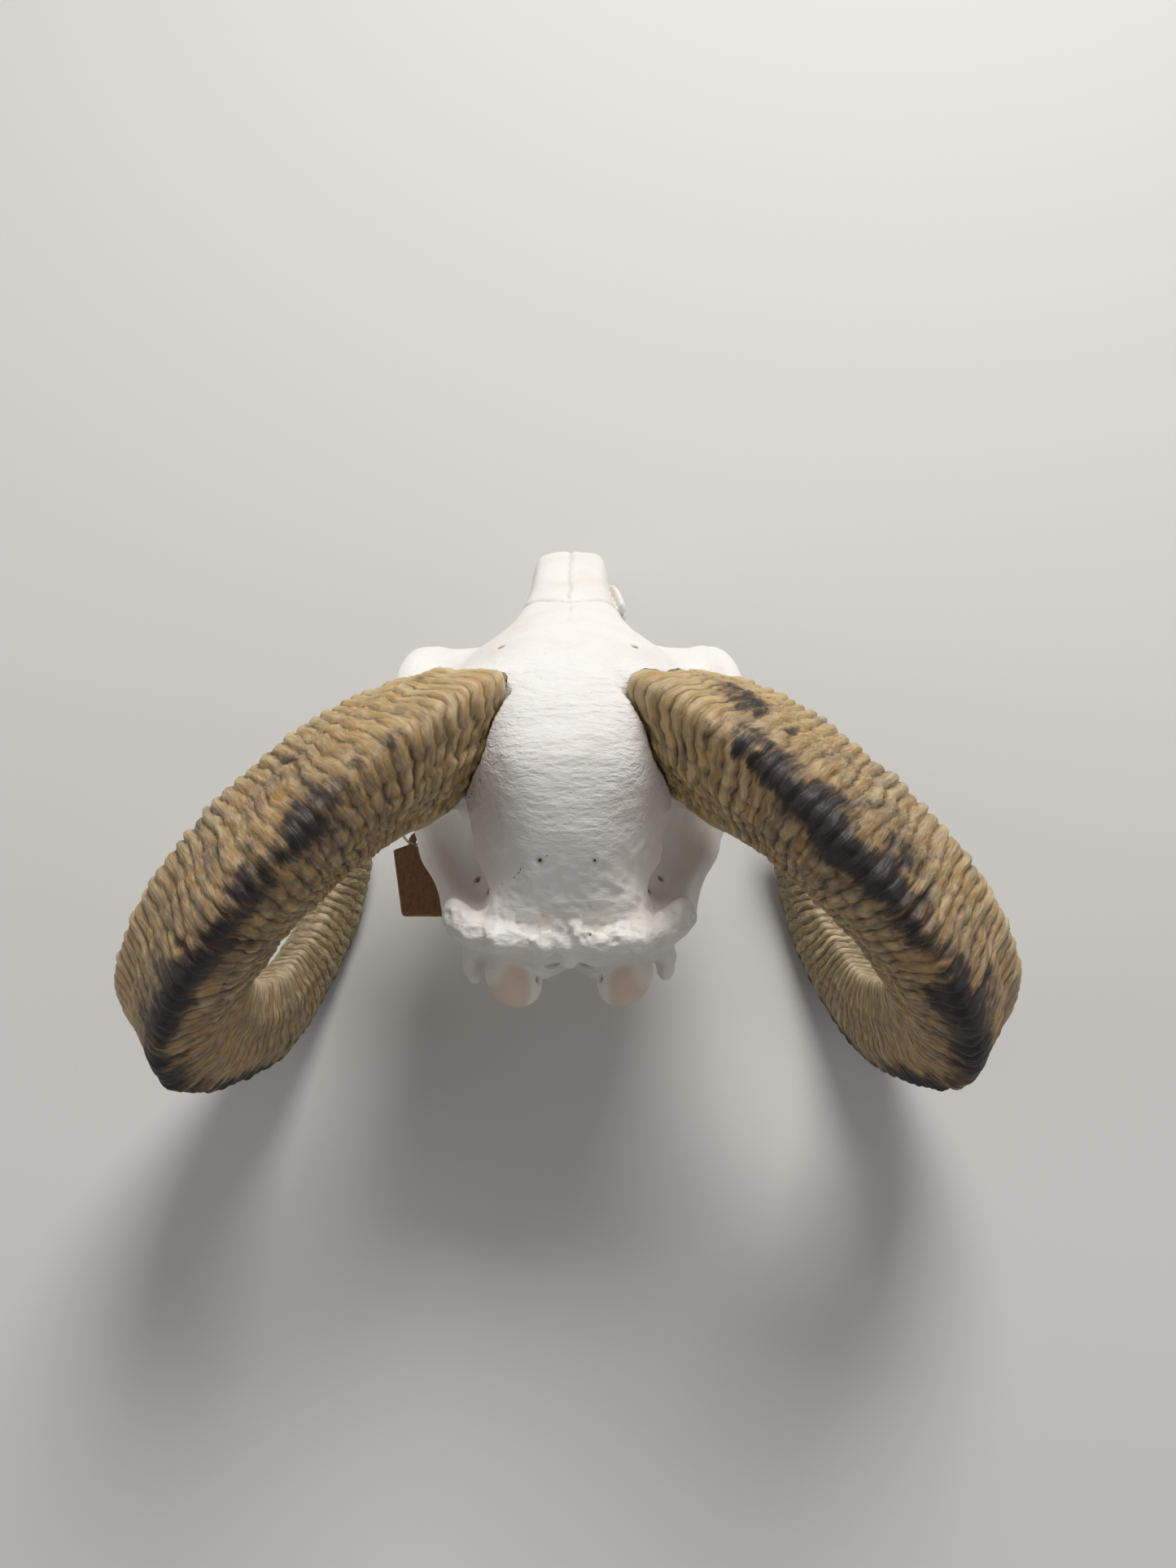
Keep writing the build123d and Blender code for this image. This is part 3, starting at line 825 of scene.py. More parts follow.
    def outside(self, points: Array) -> tuple[Array, Array]:
        """How far points near the horn's root lie outside its surface.

        Args:
            points: places in the skull's frame, in mm.

        Returns:
            Distance outside the surface in mm, and the turn, in degrees.
        """
        away = points - np.array(self.centre)
        flat_x = away @ unit(np.array(self.start))
        flat_y = away @ unit(np.array(self.ahead))
        turn = np.degrees(np.arctan2(flat_y, flat_x))
        _, out, across = self.axes(turn)
        from_line = points - self.line(turn)
        x = (from_line * out).sum(axis=-1)
        y = (from_line * across).sum(axis=-1)
        angle = np.degrees(np.arctan2(y, x)) - self.twist(turn)
        return np.hypot(x, y) - self.reach(turn, angle), turn


HORN = HornForm()


@dataclass
class HornSheath:
    """One horn sheath: a keratin shell with growth ridges, hollow over the bone core."""

    side: Side
    name: str
    rows: int = 730                 # corners along the horn
    columns: int = 122              # corners round it
    length_mm: float = 425.0        # along the middle line
    ring_mm: float = 5.0            # between growth ridges
    plate_mm: float = 9.0           # width of a plate on the nape side
    rim_gap: float = 0.8
    skirt: float = 2.6              # how far the thin edge reaches down round the bone
    core_mm: tuple[float, float] = (19.6, 9.6)      # cavity's radius at the skull and its end
    core_turn: float = 84.0
    cavity_rows: int = 44
    lip_mm: float = 1.7             # width of the thin edge at the rim
    seam: float = 117.0             # degrees round the section at which the grid closes
    round_mm: float = 30.0          # middle radius, for patterns that run round the horn
    darkness: float = 1.0
    seed: int = 3

    def mirrored(self, points: Array) -> Array:
        """Points of the left horn, moved to this side."""
        return points * np.array([self.side.value, 1.0, 1.0])

    def relief(self, s: Array, angle: Array, flat: Array, size: Array
               ) -> tuple[Array, dict[str, Array]]:
        """Height of the horn's surface detail, and its paint.

        Args:
            s: distance from the rim along the horn, in mm.
            angle: degrees round the section.
            flat: places before the detail, in mm.
            size: share of the section's size at the skull.

        Returns:
            Height in mm at each place, and the painted values by name.
        """
        seed = self.seed
        off = {name: (angle - at + 180.0) % 360.0 - 180.0
               for name, at in (("keel", -35.7), ("brow", 51.5), ("inner", 183.0))}
        keel, brow = gauss(off["keel"], 16.0), gauss(off["brow"], 17.0)
        inner = gauss(off["inner"], 17.0)
        nape = smooth(angle, 195.0, 222.0) * (1 - smooth(angle, 300.0, 322.0))
        front = gauss(off["brow"] + 43.0, 34.0)
        # the horn's underside, darkened below as painted shade
        under = gauss((angle - self.seam + 180.0) % 360.0 - 180.0, 42.0)
        late = smooth(s, 150.0, 300.0)
        wander = Grain.waves(flat, 17.0, seed, 2)
        jitter = Grain.waves(flat, 5.0, seed + 1, 2)
        ring = s / self.ring_mm + 0.55 * wander + 0.22 * jitter
        beat = ring - np.floor(ring)
        number = np.floor(ring).astype(np.int64)
        strength = 0.55 + 0.75 * Grain.mix(number[..., None], seed)
        arch = (1 - np.abs(2 * beat - 1) ** 2.2) * strength
        small = s / (self.ring_mm * 0.34) + 0.8 * wander + 0.5 * jitter
        small_arch = 1 - np.abs(2 * (small - np.floor(small)) - 1) ** 2.0
        girth = (angle - self.seam) / 360.0 * 185.0 / self.plate_mm      # 185 mm round
        plates = Grain.plates(girth + 0.4 * jitter, ring * 0.78, seed + 2)
        lumps = Grain.waves(flat, 26.0, seed + 4, 2)
        knobs = Grain.waves(flat, 7.5, seed + 5, 2)
        crumbs = Grain.waves(flat, 2.6, seed + 6, 2)
        early = 1 - smooth(s, 120.0, 240.0)
        height = (1.15 + 1.0 * brow + 1.1 * inner + 0.8 * keel) * (arch - 0.6)
        height += (0.12 + 0.12 * front + 0.1 * brow) * (small_arch - 0.6)
        height += (0.95 * nape * early + 0.5 * keel + 0.45 * front) * (plates - 0.7)
        height += 1.0 * lumps + (0.45 + 0.2 * nape) * knobs + 0.3 * crumbs
        height *= 0.35 + 0.65 * np.clip(size, 0.0, 1.0)
        depth, crack_shade = self.cracks(s, angle, jitter)
        height += depth
        rim = 1 - smooth(s, 0.0, 7.0)
        flakes = Grain.plates(girth * 2.2 + jitter, s / 4.0 + wander, seed + 8)
        height += rim * (0.8 * (flakes - 0.7) - 0.5)
        groove = smooth(0.5 - arch, 0.0, 0.5)
        patch = Grain.waves(flat, 30.0, seed + 11, 3)
        keel_line = off["keel"] + 9.0 * wander - 5.0 * late
        streak = gauss(keel_line, 13.0 + 15.0 * self.darkness * smooth(s, 70.0, 260.0))
        streak = streak * smooth(s + 16.0 * jitter, 26.0, 60.0) * (0.80 + 0.75 * patch)
        streak += 0.55 * gauss(off["keel"] - 38.0, 22.0) * smooth(patch, 0.05, 0.5)
        streak *= 1 - 0.75 * smooth(s, 330.0, 400.0)
        streak *= 0.8 + 0.35 * self.darkness
        painted = {
            "streak": np.clip(streak, 0.0, 1.2),
            "young": 0.95 * (1 - smooth(s, 14.0, 70.0)) * (0.7 + 0.3 * knobs) * (1 - 0.5 * keel),
            # olive towards the tip is the horn's own tone; the olive on the underside is painted
            # shade
            "olive_and_underside_shade": np.clip(0.75 * smooth(s, 170.0, 300.0) + 0.5 * under, 0.0, 0.85),
            # pale rim flakes and specks are the horn's own; the paler crests of growth ridges and
            # knobs are painted highlight
            "flake_and_ridge_highlight": np.clip(0.75 * rim * (0.4 + flakes) + 0.3 * (brow + inner) * arch
                             + 0.45 * smooth(arch, 0.75, 1.25) * smooth(knobs, -0.3, 0.5)
                             + 0.2 * smooth(crumbs, 0.35, 0.9), 0.0, 0.85),
            # painted shade: darker in the grooves between growth ridges, in the gaps between
            # plates and inside the cracks
            "groove_shade": np.clip(0.9 * groove * (0.75 + 0.5 * knobs) + 0.5 * (1 - plates)
                             * (nape * early + 0.5 * front) + crack_shade, 0.0, 0.95),
        }
        return height, painted

    def cracks(self, s: Array, angle: Array, jitter: Array) -> tuple[Array, Array]:
        """Cuts the cracks that run across the horn where its keel dried out.

        Args:
            s: distance from the rim, in mm.
            angle: degrees round the section.
            jitter: soft noise that makes the cracks wander.

        Returns:
            Height to add in mm, never above zero, and the painted shade inside the cracks, 0 to 1.
        """
        if self.side is Side.LEFT:
            places = ((112.0, -52.0, 24.0, 3.4), (121.0, -22.0, 20.0, 3.0),
                      (168.0, -48.0, 18.0, 2.6), (205.0, -40.0, 26.0, 2.4),
                      (238.0, -20.0, 18.0, 2.0), (64.0, 22.0, 16.0, 1.6),
                      (262.0, -70.0, 16.0, 1.8))
        else:
            places = ((106.0, -20.0, 22.0, 2.6), (134.0, -46.0, 18.0, 2.4),
                      (176.0, -38.0, 24.0, 2.8), (196.0, -30.0, 26.0, 2.2),
                      (214.0, -24.0, 26.0, 2.2), (230.0, -36.0, 26.0, 2.0),
                      (246.0, -30.0, 24.0, 1.8), (48.0, 4.0, 14.0, 1.5))
        total = np.zeros_like(s)
        marks = np.zeros_like(s)
        for at, middle, width, depth in places:
            off = (angle - middle + 180.0) % 360.0 - 180.0
            window = gauss(off, width * 0.75)
            across = gauss(s - at - 2.2 * jitter - 0.05 * off, 0.55 + 0.8 * window)
            total -= depth * across * window
            marks += across * window
        return total, np.clip(marks * 1.3, 0.0, 1.0)

    def cavity(self, angle: Array) -> tuple[Array, Array]:
        """The hollow that the bone core fills, from the rim to its round end.

        Args:
            angle: degrees round the section.

        Returns:
            Rings of corners in mm, and the corner at the end.
        """
        v = np.linspace(0.0, 1.0, self.cavity_rows)[:, None]
        start = HORN.rim_turns(angle, np.full_like(angle, self.core_mm[0]), self.rim_gap)
        turn = start[None, :] * (1 - v) + self.core_turn * v
        radius = self.core_mm[0] + (self.core_mm[1] - self.core_mm[0]) \
            * np.clip(turn, None, self.core_turn) / self.core_turn
        wall, _ = HORN.surface(turn, np.broadcast_to(angle, turn.shape), radius)
        along, _, _ = HORN.axes(np.full_like(angle, self.core_turn))
        middle = HORN.line(np.array(self.core_turn))
        domes = [middle + (wall[-1] - middle) * math.cos(math.radians(a))
                 + along * self.core_mm[1] * math.sin(math.radians(a))
                 for a in (30.0, 60.0)]
        rings = np.concatenate([wall] + [dome[None] for dome in domes])
        return rings, middle + along[0] * self.core_mm[1]

    def build(self) -> Piece:
        """Builds the closed shell: outside, tip, rim and cavity.

        Returns:
            The sheath's piece.
        """
        angle = np.linspace(0.0, 360.0, self.columns, endpoint=False) + self.seam
        u = np.linspace(0.0, 1.0, self.rows)[:, None]
        ragged = np.stack([np.cos(np.radians(angle)) * self.round_mm,
                           np.sin(np.radians(angle)) * self.round_mm,
                           np.full_like(angle, self.seed * 9.0)], axis=-1)
        ragged = 1.8 * np.abs(Grain.waves(ragged, 7.0, self.seed, 2)) \
            + 1.4 * np.abs(Grain.waves(ragged, 2.4, self.seed + 1))
        start = HORN.rim_turns(angle, None, self.rim_gap - self.skirt) + ragged
        turn = HORN.length_turn * u + start[None, :] * np.clip(1 - u / 0.45, 0, 1) ** 2
        around = np.broadcast_to(angle[None, :], turn.shape)
        reach = HORN.reach(turn, around)
        flat, way = HORN.surface(turn, around, reach)
        s = np.broadcast_to(u * self.length_mm, turn.shape)
        size = HORN.corner(turn) / HORN.corner_mm
        height, painted = self.relief(s, around, flat, size)
        outer = flat + way * height[..., None]
        cap_points, cap_turn = [], np.full_like(angle, HORN.length_turn)
        along, _, _ = HORN.axes(cap_turn)
        last = outer[-1]
        middle = last.mean(axis=0)
        for step in (25.0, 50.0, 72.0):
            a = math.radians(step)
            cap_points.append(middle + (last - middle) * math.cos(a)
                              + along * HORN.tip_mm * math.sin(a))
        tip = middle + along[0] * HORN.tip_mm
        outside = np.concatenate([outer] + [cap[None] for cap in cap_points])
        inside, dome_tip = self.cavity(angle)
        under = HORN.rim_turns(angle, None, self.rim_gap)
        lip = HORN.surface(under, angle, HORN.reach(under, angle) - self.lip_mm)[0]
        lip_in = lip * 0.4 + inside[0] * 0.6
        n = self.columns
        points = np.concatenate([outside.reshape(-1, 3), tip[None], lip, lip_in,
                                 inside.reshape(-1, 3), dome_tip[None]])
        out_rows, in_rows = len(outside), len(inside)
        tip_at = out_rows * n
        lip_at, lip_in_at = tip_at + 1, tip_at + 1 + n
        in_at = lip_in_at + n
        faces = grid_faces(out_rows, n)
        faces += fan_faces(np.arange((out_rows - 1) * n, out_rows * n), tip_at)
        ring = np.arange(n)
        after = (ring + 1) % n
        for first, second in ((lip_at, 0), (lip_in_at, lip_at), (in_at, lip_in_at)):
            faces += np.stack([first + ring, first + after, second + after, second + ring],
                              axis=-1).tolist()
        faces += grid_faces(in_rows, n, in_at, flip=True)
        faces += fan_faces(np.arange(in_at + (in_rows - 1) * n, in_at + in_rows * n),
                           len(points) - 1, flip=True)
        faces = [face[::-1] for face in faces] if self.side is Side.LEFT else faces
        girth = np.radians(around) * self.round_mm
        run = np.stack([s, girth, np.zeros_like(s)], axis=-1)
        paint = {}
        extra = len(points) - turn.size
        for label, values in painted.items():
            fill = 0.6 if label == "flake_and_ridge_highlight" else 0.0
            paint[label] = np.concatenate([values.ravel(), np.full(extra, fill)])
        paint["run"] = np.concatenate([run.reshape(-1, 3), points[turn.size:]])
        points = self.mirrored(points)
        piece = make_piece(self.name, REST.place(points), faces, KERATIN, paint)
        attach(piece, "sheath_left" if self.side is Side.LEFT else "sheath_right")
        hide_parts("horn_" + self.name)
        return piece


@dataclass
class HornCore:
    """The bone core inside a sheath: a porous, grooved cone with a round end."""

    side: Side
    name: str
    base_mm: float = 19.0
    end_mm: float = 9.0
    end_turn: float = 84.0
    round_mm: float = 14.0          # middle radius, for the dents' pattern
    inset: float = 0.6              # of the round end, inside the bare cone's radius
    rows: int = 120
    columns: int = 80

    def build(self) -> Piece:
        """Builds the core from the rim's plane to its round end.

        Returns:
            The core's piece.
        """
        angle = np.linspace(0.0, 360.0, self.columns, endpoint=False)
        start = HORN.rim_turns(angle, np.full_like(angle, self.base_mm), 0.0)
        v = np.linspace(0.0, 1.0, self.rows)[:, None]
        turn = start[None, :] * (1 - v) + self.end_turn * v
        around = np.broadcast_to(angle, turn.shape)
        radius = self.base_mm + (self.end_mm - self.base_mm) * turn / self.end_turn
        flat, way = HORN.surface(turn, around, radius)
        run = np.stack([turn * 0.25, np.cos(np.radians(around)) * self.round_mm,
                        np.sin(np.radians(around)) * self.round_mm], axis=-1)
        dents = np.abs(Grain.waves(run, 4.0, 21, 2))
        body = flat - way * (0.15 + 1.1 * dents)[..., None]
        along, _, _ = HORN.axes(np.full_like(angle, self.end_turn))
        middle = HORN.line(np.array(self.end_turn))
        rings = [middle + (body[-1] - middle) * math.cos(math.radians(a))
                 + along * (self.end_mm - self.inset) * math.sin(math.radians(a))
                 for a in (22.0, 45.0, 68.0)]
        tip = middle + along[0] * (self.end_mm - self.inset)
        base = body[0].mean(axis=0)
        whole = np.concatenate([body] + [ring[None] for ring in rings])
        points = np.concatenate([whole.reshape(-1, 3), tip[None], base[None]])
        n = self.columns
        faces = grid_faces(len(whole), n)
        faces += fan_faces(np.arange((len(whole) - 1) * n, len(whole) * n), len(points) - 2)
        faces += fan_faces(np.arange(n), len(points) - 1, flip=True)
        faces = [face[::-1] for face in faces] if self.side is Side.LEFT else faces
        points = points * np.array([self.side.value, 1.0, 1.0])
        piece = make_piece(self.name, REST.place(points), faces, INNER_BONE)
        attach(piece, "skull")
        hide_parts("horn_" + self.name)
        return piece


# ---------------------------------------------------------------- the skull's bones
@dataclass(frozen=True)
class Section:
    """The outline across the head at one place: heights and half widths, in mm."""

    y: float
    rim: tuple[tuple[float, float], ...]        # (half width, height), top to bottom


SECTIONS = (
    Section(22.0, ((0, 54), (14, 54), (26, 52), (32, 44), (32, 36), (27, 26), (16, 18), (0, 16))),
    Section(8.0, ((0, 63), (17, 63), (31, 60), (37, 50), (37, 38), (33, 26), (20, 12), (0, 9))),
    Section(0.0, ((0, 77), (17, 74), (29, 66), (37, 54), (39, 40), (36, 24), (22, 8), (0, 6))),
    Section(-10.0, ((0, 98), (15, 93), (25, 76), (34, 60), (38, 44), (37, 24), (24, 8), (0, 6))),
    Section(-20.0, ((0, 111), (19, 105), (31, 82), (38, 64), (40, 46), (37, 24), (24, 8),
                    (0, 7))),
    Section(-32.0, ((0, 122), (23, 117), (38, 92), (43, 70), (43, 48), (37, 26), (24, 9),
                    (0, 7))),
    Section(-48.0, ((0, 127.5), (26, 124), (42, 104), (47, 76), (46, 50), (38, 28), (22, 11),
                    (0, 8))),
    Section(-66.0, ((0, 129.5), (26, 127), (44, 112), (50, 84), (46, 54), (36, 32), (20, 14),
                    (0, 10))),
    Section(-84.0, ((0, 127.5), (26, 124), (46, 108), (54, 84), (42, 56), (33, 34), (20, 16),
                    (0, 14))),
    Section(-100.0, ((0, 122), (26, 117), (45, 103), (56, 84), (40, 56), (33, 32), (20, 14),
                     (0, 17))),
    Section(-116.0, ((0, 115), (22, 110.5), (38, 99), (47, 84), (39, 52), (36, 24), (27, 2),
                     (0, 12))),
    Section(-130.0, ((0, 108.5), (18, 104), (29, 95), (36, 78), (40, 50), (38, 22), (28, 0),
                     (0, 7))),
    Section(-146.0, ((0, 101.5), (14, 99), (22, 92), (30, 72), (39, 44), (37, 16), (27, -1),
                     (0, 5))),
    Section(-165.0, ((0, 94), (13, 92), (19, 85), (26, 64), (35, 38), (34, 14), (24, -1),
                     (0, 5))),
    Section(-185.0, ((0, 85), (12.5, 83.5), (18, 77), (22, 56), (28, 34), (27, 12), (19, 0),
                     (0, 5))),
    Section(-204.0, ((0, 75.5), (12, 74), (17.5, 68), (19.5, 50), (22, 30), (21, 12), (14, 2),
                     (0, 5))),
    Section(-222.0, ((0, 66), (11.5, 64.5), (16.5, 59), (17.5, 46), (18, 28), (16, 12),
                     (11, 4), (0, 6))),
    Section(-240.0, ((0, 57), (10, 56), (15, 51), (15, 40), (15, 24), (13, 12), (9, 5),
                     (0, 6))),
    Section(-276.0, ((0, 38), (8, 37), (11, 33), (11, 24), (10, 16), (9, 10), (6, 6), (0, 6))),
)


class Bone(Enum):
    """Every bone and tooth that is carved out of the head, by its node's name."""

    AIR = 0
    OCCIPITAL = 1
    PARIETAL = 2
    SPHENOID = 3
    TEMPORAL = 4
    ZYGOMATIC = 6
    FRONTAL = 8
    MAXILLA = 10
    PALATINE = 12
    LACRIMAL = 14
    NASAL = 16
    PREMAXILLA = 18
    TYMPANIC_BULLA = 20
    PREMOLAR_2 = 22
    PREMOLAR_3 = 24
    PREMOLAR_4 = 26
    MOLAR_1 = 28
    MOLAR_2 = 30
    MOLAR_3 = 32

    @property
    def paired(self) -> bool:
        """Whether there is one on each side."""
        return self.value > 3

    @property
    def tooth(self) -> bool:
        """Whether it is a tooth."""
        return self.value >= 22


def soften(first: Array, second: Array, blend: float) -> Array:
    """Joins two solids with a fillet.

    Args:
        first: distance field of one solid.
        second: distance field of the other.
        blend: width of the fillet in mm.

    Returns:
        Distance field of both together.
    """
    t = np.clip(0.5 + 0.5 * (second - first) / blend, 0.0, 1.0)
    return second * (1 - t) + first * t - blend * t * (1 - t)


@dataclass
class Head:
    """The skull's bones and teeth, carved as one solid and divided along its sutures."""

    step: float = 1.0               # mm between the carving's layers
    low: Place = (-80.0, -277.0, -19.0)
    high: Place = (80.0, 27.0, 136.0)
    orbit: Place = (0.0, -106.3, 70.2)
    orbit_mm: float = 21.0
    seat_inset: float = 3.0         # of the bone under a sheath, inside its outline
    sheath_room: float = 1.6
    teeth_mm: tuple[float, ...] = (9.0, 10.0, 11.5, 13.5, 16.0, 18.0)
    tooth_wide: float = 12.0
    tooth_tall: float = 13.0
    tooth_gap: float = 0.4
    teeth_back: float = -115.9      # y of the last tooth's back
    nasal_root: float = -140.2      # y at which the nose bones meet the forehead, on the midline
    spokes: int = 181               # directions in which each section is measured

    def __post_init__(self) -> None:
        """Lays out the grid over the animal's left half."""
        self.x = np.arange(0.5 * self.step, self.high[0], self.step)
        self.y = np.arange(self.low[1], self.high[1], self.step)
        self.z = np.arange(self.low[2], self.high[2], self.step)
        self.shape = (len(self.x), len(self.y), len(self.z))

    def near(self, low: Place, high: Place) -> tuple[tuple, Array, Array, Array]:
        """The part of the grid between two corners.

        Args:
            low: lowest corner in mm.
            high: highest corner in mm.

        Returns:
            Its place in the grid, and the x, y and z of its points.
        """
        spans = []
        for axis, values in enumerate((self.x, self.y, self.z)):
            spans.append(slice(int(np.searchsorted(values, low[axis])),
                               int(np.searchsorted(values, high[axis]))))
        return (tuple(spans), self.x[spans[0]][:, None, None],
                self.y[spans[1]][None, :, None], self.z[spans[2]][None, None, :])

    def trunk(self) -> Array:
        """The head's main mass, from its sections.

        Returns:
            Distance field over the left half.
        """
        stations = np.array([s.y for s in SECTIONS])[::-1]
        rims = np.array([s.rim for s in SECTIONS], dtype=float)[::-1]
        tops, lows = rims[:, 0, 1], rims[:, -1, 1]
        angles = np.linspace(0.0, np.pi, self.spokes)
        table = []
        for rim, top, bottom in zip(rims, tops, lows):
            centre = (top + bottom) / 2
            closed = np.concatenate([rim[1:3][::-1] * [-1, 1], rim, rim[-3:-1][::-1] * [-1, 1]])
            t = np.linspace(2, len(closed) - 3, 400)
            i = np.clip(np.floor(t).astype(int), 1, len(closed) - 3)
            f = (t - i)[:, None]
            p0, p1, p2, p3 = (closed[i + d] for d in (-1, 0, 1, 2))
            curve = 0.5 * (2 * p1 + (p2 - p0) * f + (2 * p0 - 5 * p1 + 4 * p2 - p3) * f ** 2
                           + (3 * p1 - p0 - 3 * p2 + p3) * f ** 3)
            around = np.arctan2(curve[:, 0], curve[:, 1] - centre)
            order = np.argsort(around)
            table.append(np.interp(angles, around[order],
                                   np.hypot(curve[:, 0], curve[:, 1] - centre)[order]))
        table = np.array(table)
        y = self.y
        i = np.clip(np.searchsorted(stations, y, side="right") - 1, 0, len(stations) - 2)
        h = stations[i + 1] - stations[i]
        f = np.clip((y - stations[i]) / h, 0.0, 1.0)
        rows = np.concatenate([table, tops[:, None], lows[:, None]], axis=1)
        slopes = np.gradient(rows, stations, axis=0)
        a, b = f[:, None], h[:, None]
        rows = ((2 * a ** 3 - 3 * a ** 2 + 1) * rows[i]
                + (a ** 3 - 2 * a ** 2 + a) * b * slopes[i]
                + (3 * a ** 2 - 2 * a ** 3) * rows[i + 1] + (a ** 3 - a ** 2) * b * slopes[i + 1])
        solid = np.empty(self.shape, dtype=np.float32)
        steep = np.gradient(rows[:, :self.spokes], y, axis=0)
        turn = np.gradient(rows[:, :self.spokes], angles, axis=1) \
            / np.maximum(rows[:, :self.spokes], 1.0)
        ease = 1.0 / np.sqrt(1.0 + steep ** 2 + turn ** 2)
        for j in range(len(y)):
            centre = (rows[j, -2] + rows[j, -1]) / 2
            dx, dz = self.x[:, None], self.z[None, :] - centre
            around = np.arctan2(dx, dz)
            away = np.hypot(dx, dz)
            reach = np.interp(around, angles, rows[j, :self.spokes])
            solid[:, j, :] = (away - reach) * np.interp(around, angles, ease[j])
        return solid

    def ball(self, solid: Array, centre: Place,
             radii: Place, blend: float = 0.0, cut: bool = False,
             lean: float = 0.0, swing: float = 0.0) -> None:
        """Adds or cuts a stretched ball.

        Args:
            solid: the distance field, changed in place.
            centre: the ball's middle in mm.
            radii: its three radii in mm.
            blend: width of the fillet round it.
            cut: whether it is cut away.
            lean: degrees that it is turned about the y axis.
            swing: degrees that it is turned about the x axis.
        """
        reach = max(radii) + blend + 6.0
        spot, x, y, z = self.near(tuple(c - reach for c in centre),
                                  tuple(c + reach for c in centre))
        dx, dy, dz = x - centre[0], y - centre[1], z - centre[2]
        a, b = math.radians(lean), math.radians(swing)
        dx, dz = dx * math.cos(a) - dz * math.sin(a), dx * math.sin(a) + dz * math.cos(a)
        dy, dz = dy * math.cos(b) - dz * math.sin(b), dy * math.sin(b) + dz * math.cos(b)
        q = np.sqrt((dx / radii[0]) ** 2 + (dy / radii[1]) ** 2 + (dz / radii[2]) ** 2)
        g = np.sqrt((dx / radii[0] ** 2) ** 2 + (dy / radii[1] ** 2) ** 2
                    + (dz / radii[2] ** 2) ** 2)
        ball = q * (q - 1.0) / np.maximum(g, 1e-6)
        self.merge(solid, spot, ball, blend, cut)

    def merge(self, solid: Array, spot: tuple, shape: Array, blend: float, cut: bool) -> None:
        """Adds a shape to part of the field, or cuts it away, with a fillet.

        Args:
            solid: the distance field, changed in place.
            spot: the part of the grid.
            shape: the shape's distance field there.
            blend: width of the fillet in mm, or none at zero.
            cut: whether the shape is cut away.
        """
        here = solid[spot]
        if cut:
            solid[spot] = np.maximum(here, -shape) if blend <= 0 else \
                -soften(-here, shape, blend)
        else:
            solid[spot] = np.minimum(here, shape) if blend <= 0 else \
                soften(here, shape.astype(np.float32), blend)

    def rope(self, solid: Array, route: tuple[Place, ...],
             radii: tuple[float, ...], blend: float, flat: float = 1.0,
             cut: bool = False) -> None:
        """Adds a round bar along a route.

        Args:
            solid: the distance field, changed in place.
            route: points that the bar passes through, in mm.
            radii: its radius at each point.
            blend: width of the fillet round it.
            flat: how much wider it is up and down than sideways.
            cut: whether it is cut away.
        """
        path, r = np.array(route, dtype=float), np.array(radii)
        reach = r.max() * max(flat, 1.0) + blend + 6.0
        spot, x, y, z = self.near(tuple(path.min(axis=0) - reach),
                                  tuple(path.max(axis=0) + reach))
        best = None
        for p, q, r0, r1 in zip(path[:-1], path[1:], r[:-1], r[1:]):
            d = q - p
            t = ((x - p[0]) * d[0] + (y - p[1]) * d[1] + (z - p[2]) * d[2]) / (d @ d)
            t = np.clip(t, 0.0, 1.0)
            away = np.sqrt((x - p[0] - t * d[0]) ** 2 + (y - p[1] - t * d[1]) ** 2
                           + ((z - p[2] - t * d[2]) / flat) ** 2) - (r0 + (r1 - r0) * t)
            best = away if best is None else soften(best, away, 3.0)
        self.merge(solid, spot, best, blend, cut)

    def forehead_seam(self, x: Array) -> Array:
        """The y at which the forehead ends, at each distance x from the midline."""
        return self.nasal_root - 8.0 * np.clip(x / 18.5, 0.0, 1.3) ** 1.4

    def nasal_seam(self, y: Array, z: Array) -> Array:
        """Depth under the sloping seam between the nose bones and the jaw, in mm."""
        return (y - self.nasal_root) * -0.3776 + (z - 85.8) * -0.926

    def carve(self) -> Array:
        """Builds up and cuts the left half of the head.

        Returns:
            Distance field over the left half, bone where it is below zero.
        """
        f = self.trunk()
        back = np.interp(self.z, (0, 14, 24, 36, 46, 58, 66), (-6, -4, 1, 6, 9, 8, 12))
        sides = np.interp(self.x, (0, 14, 30, 40, 48), (0, 0, -3, -8, -12))
        plane = self.y[None, :, None] - back[None, None, :] - sides[:, None, None]
        f = np.maximum(f, (0.9 * plane).astype(np.float32))
        for part in (self.arch, self.socket, self.muzzle, self.inner_rooms, self.underside,
                     self.nape, self.horn_seats, self.holes):
            part(f)
        return f

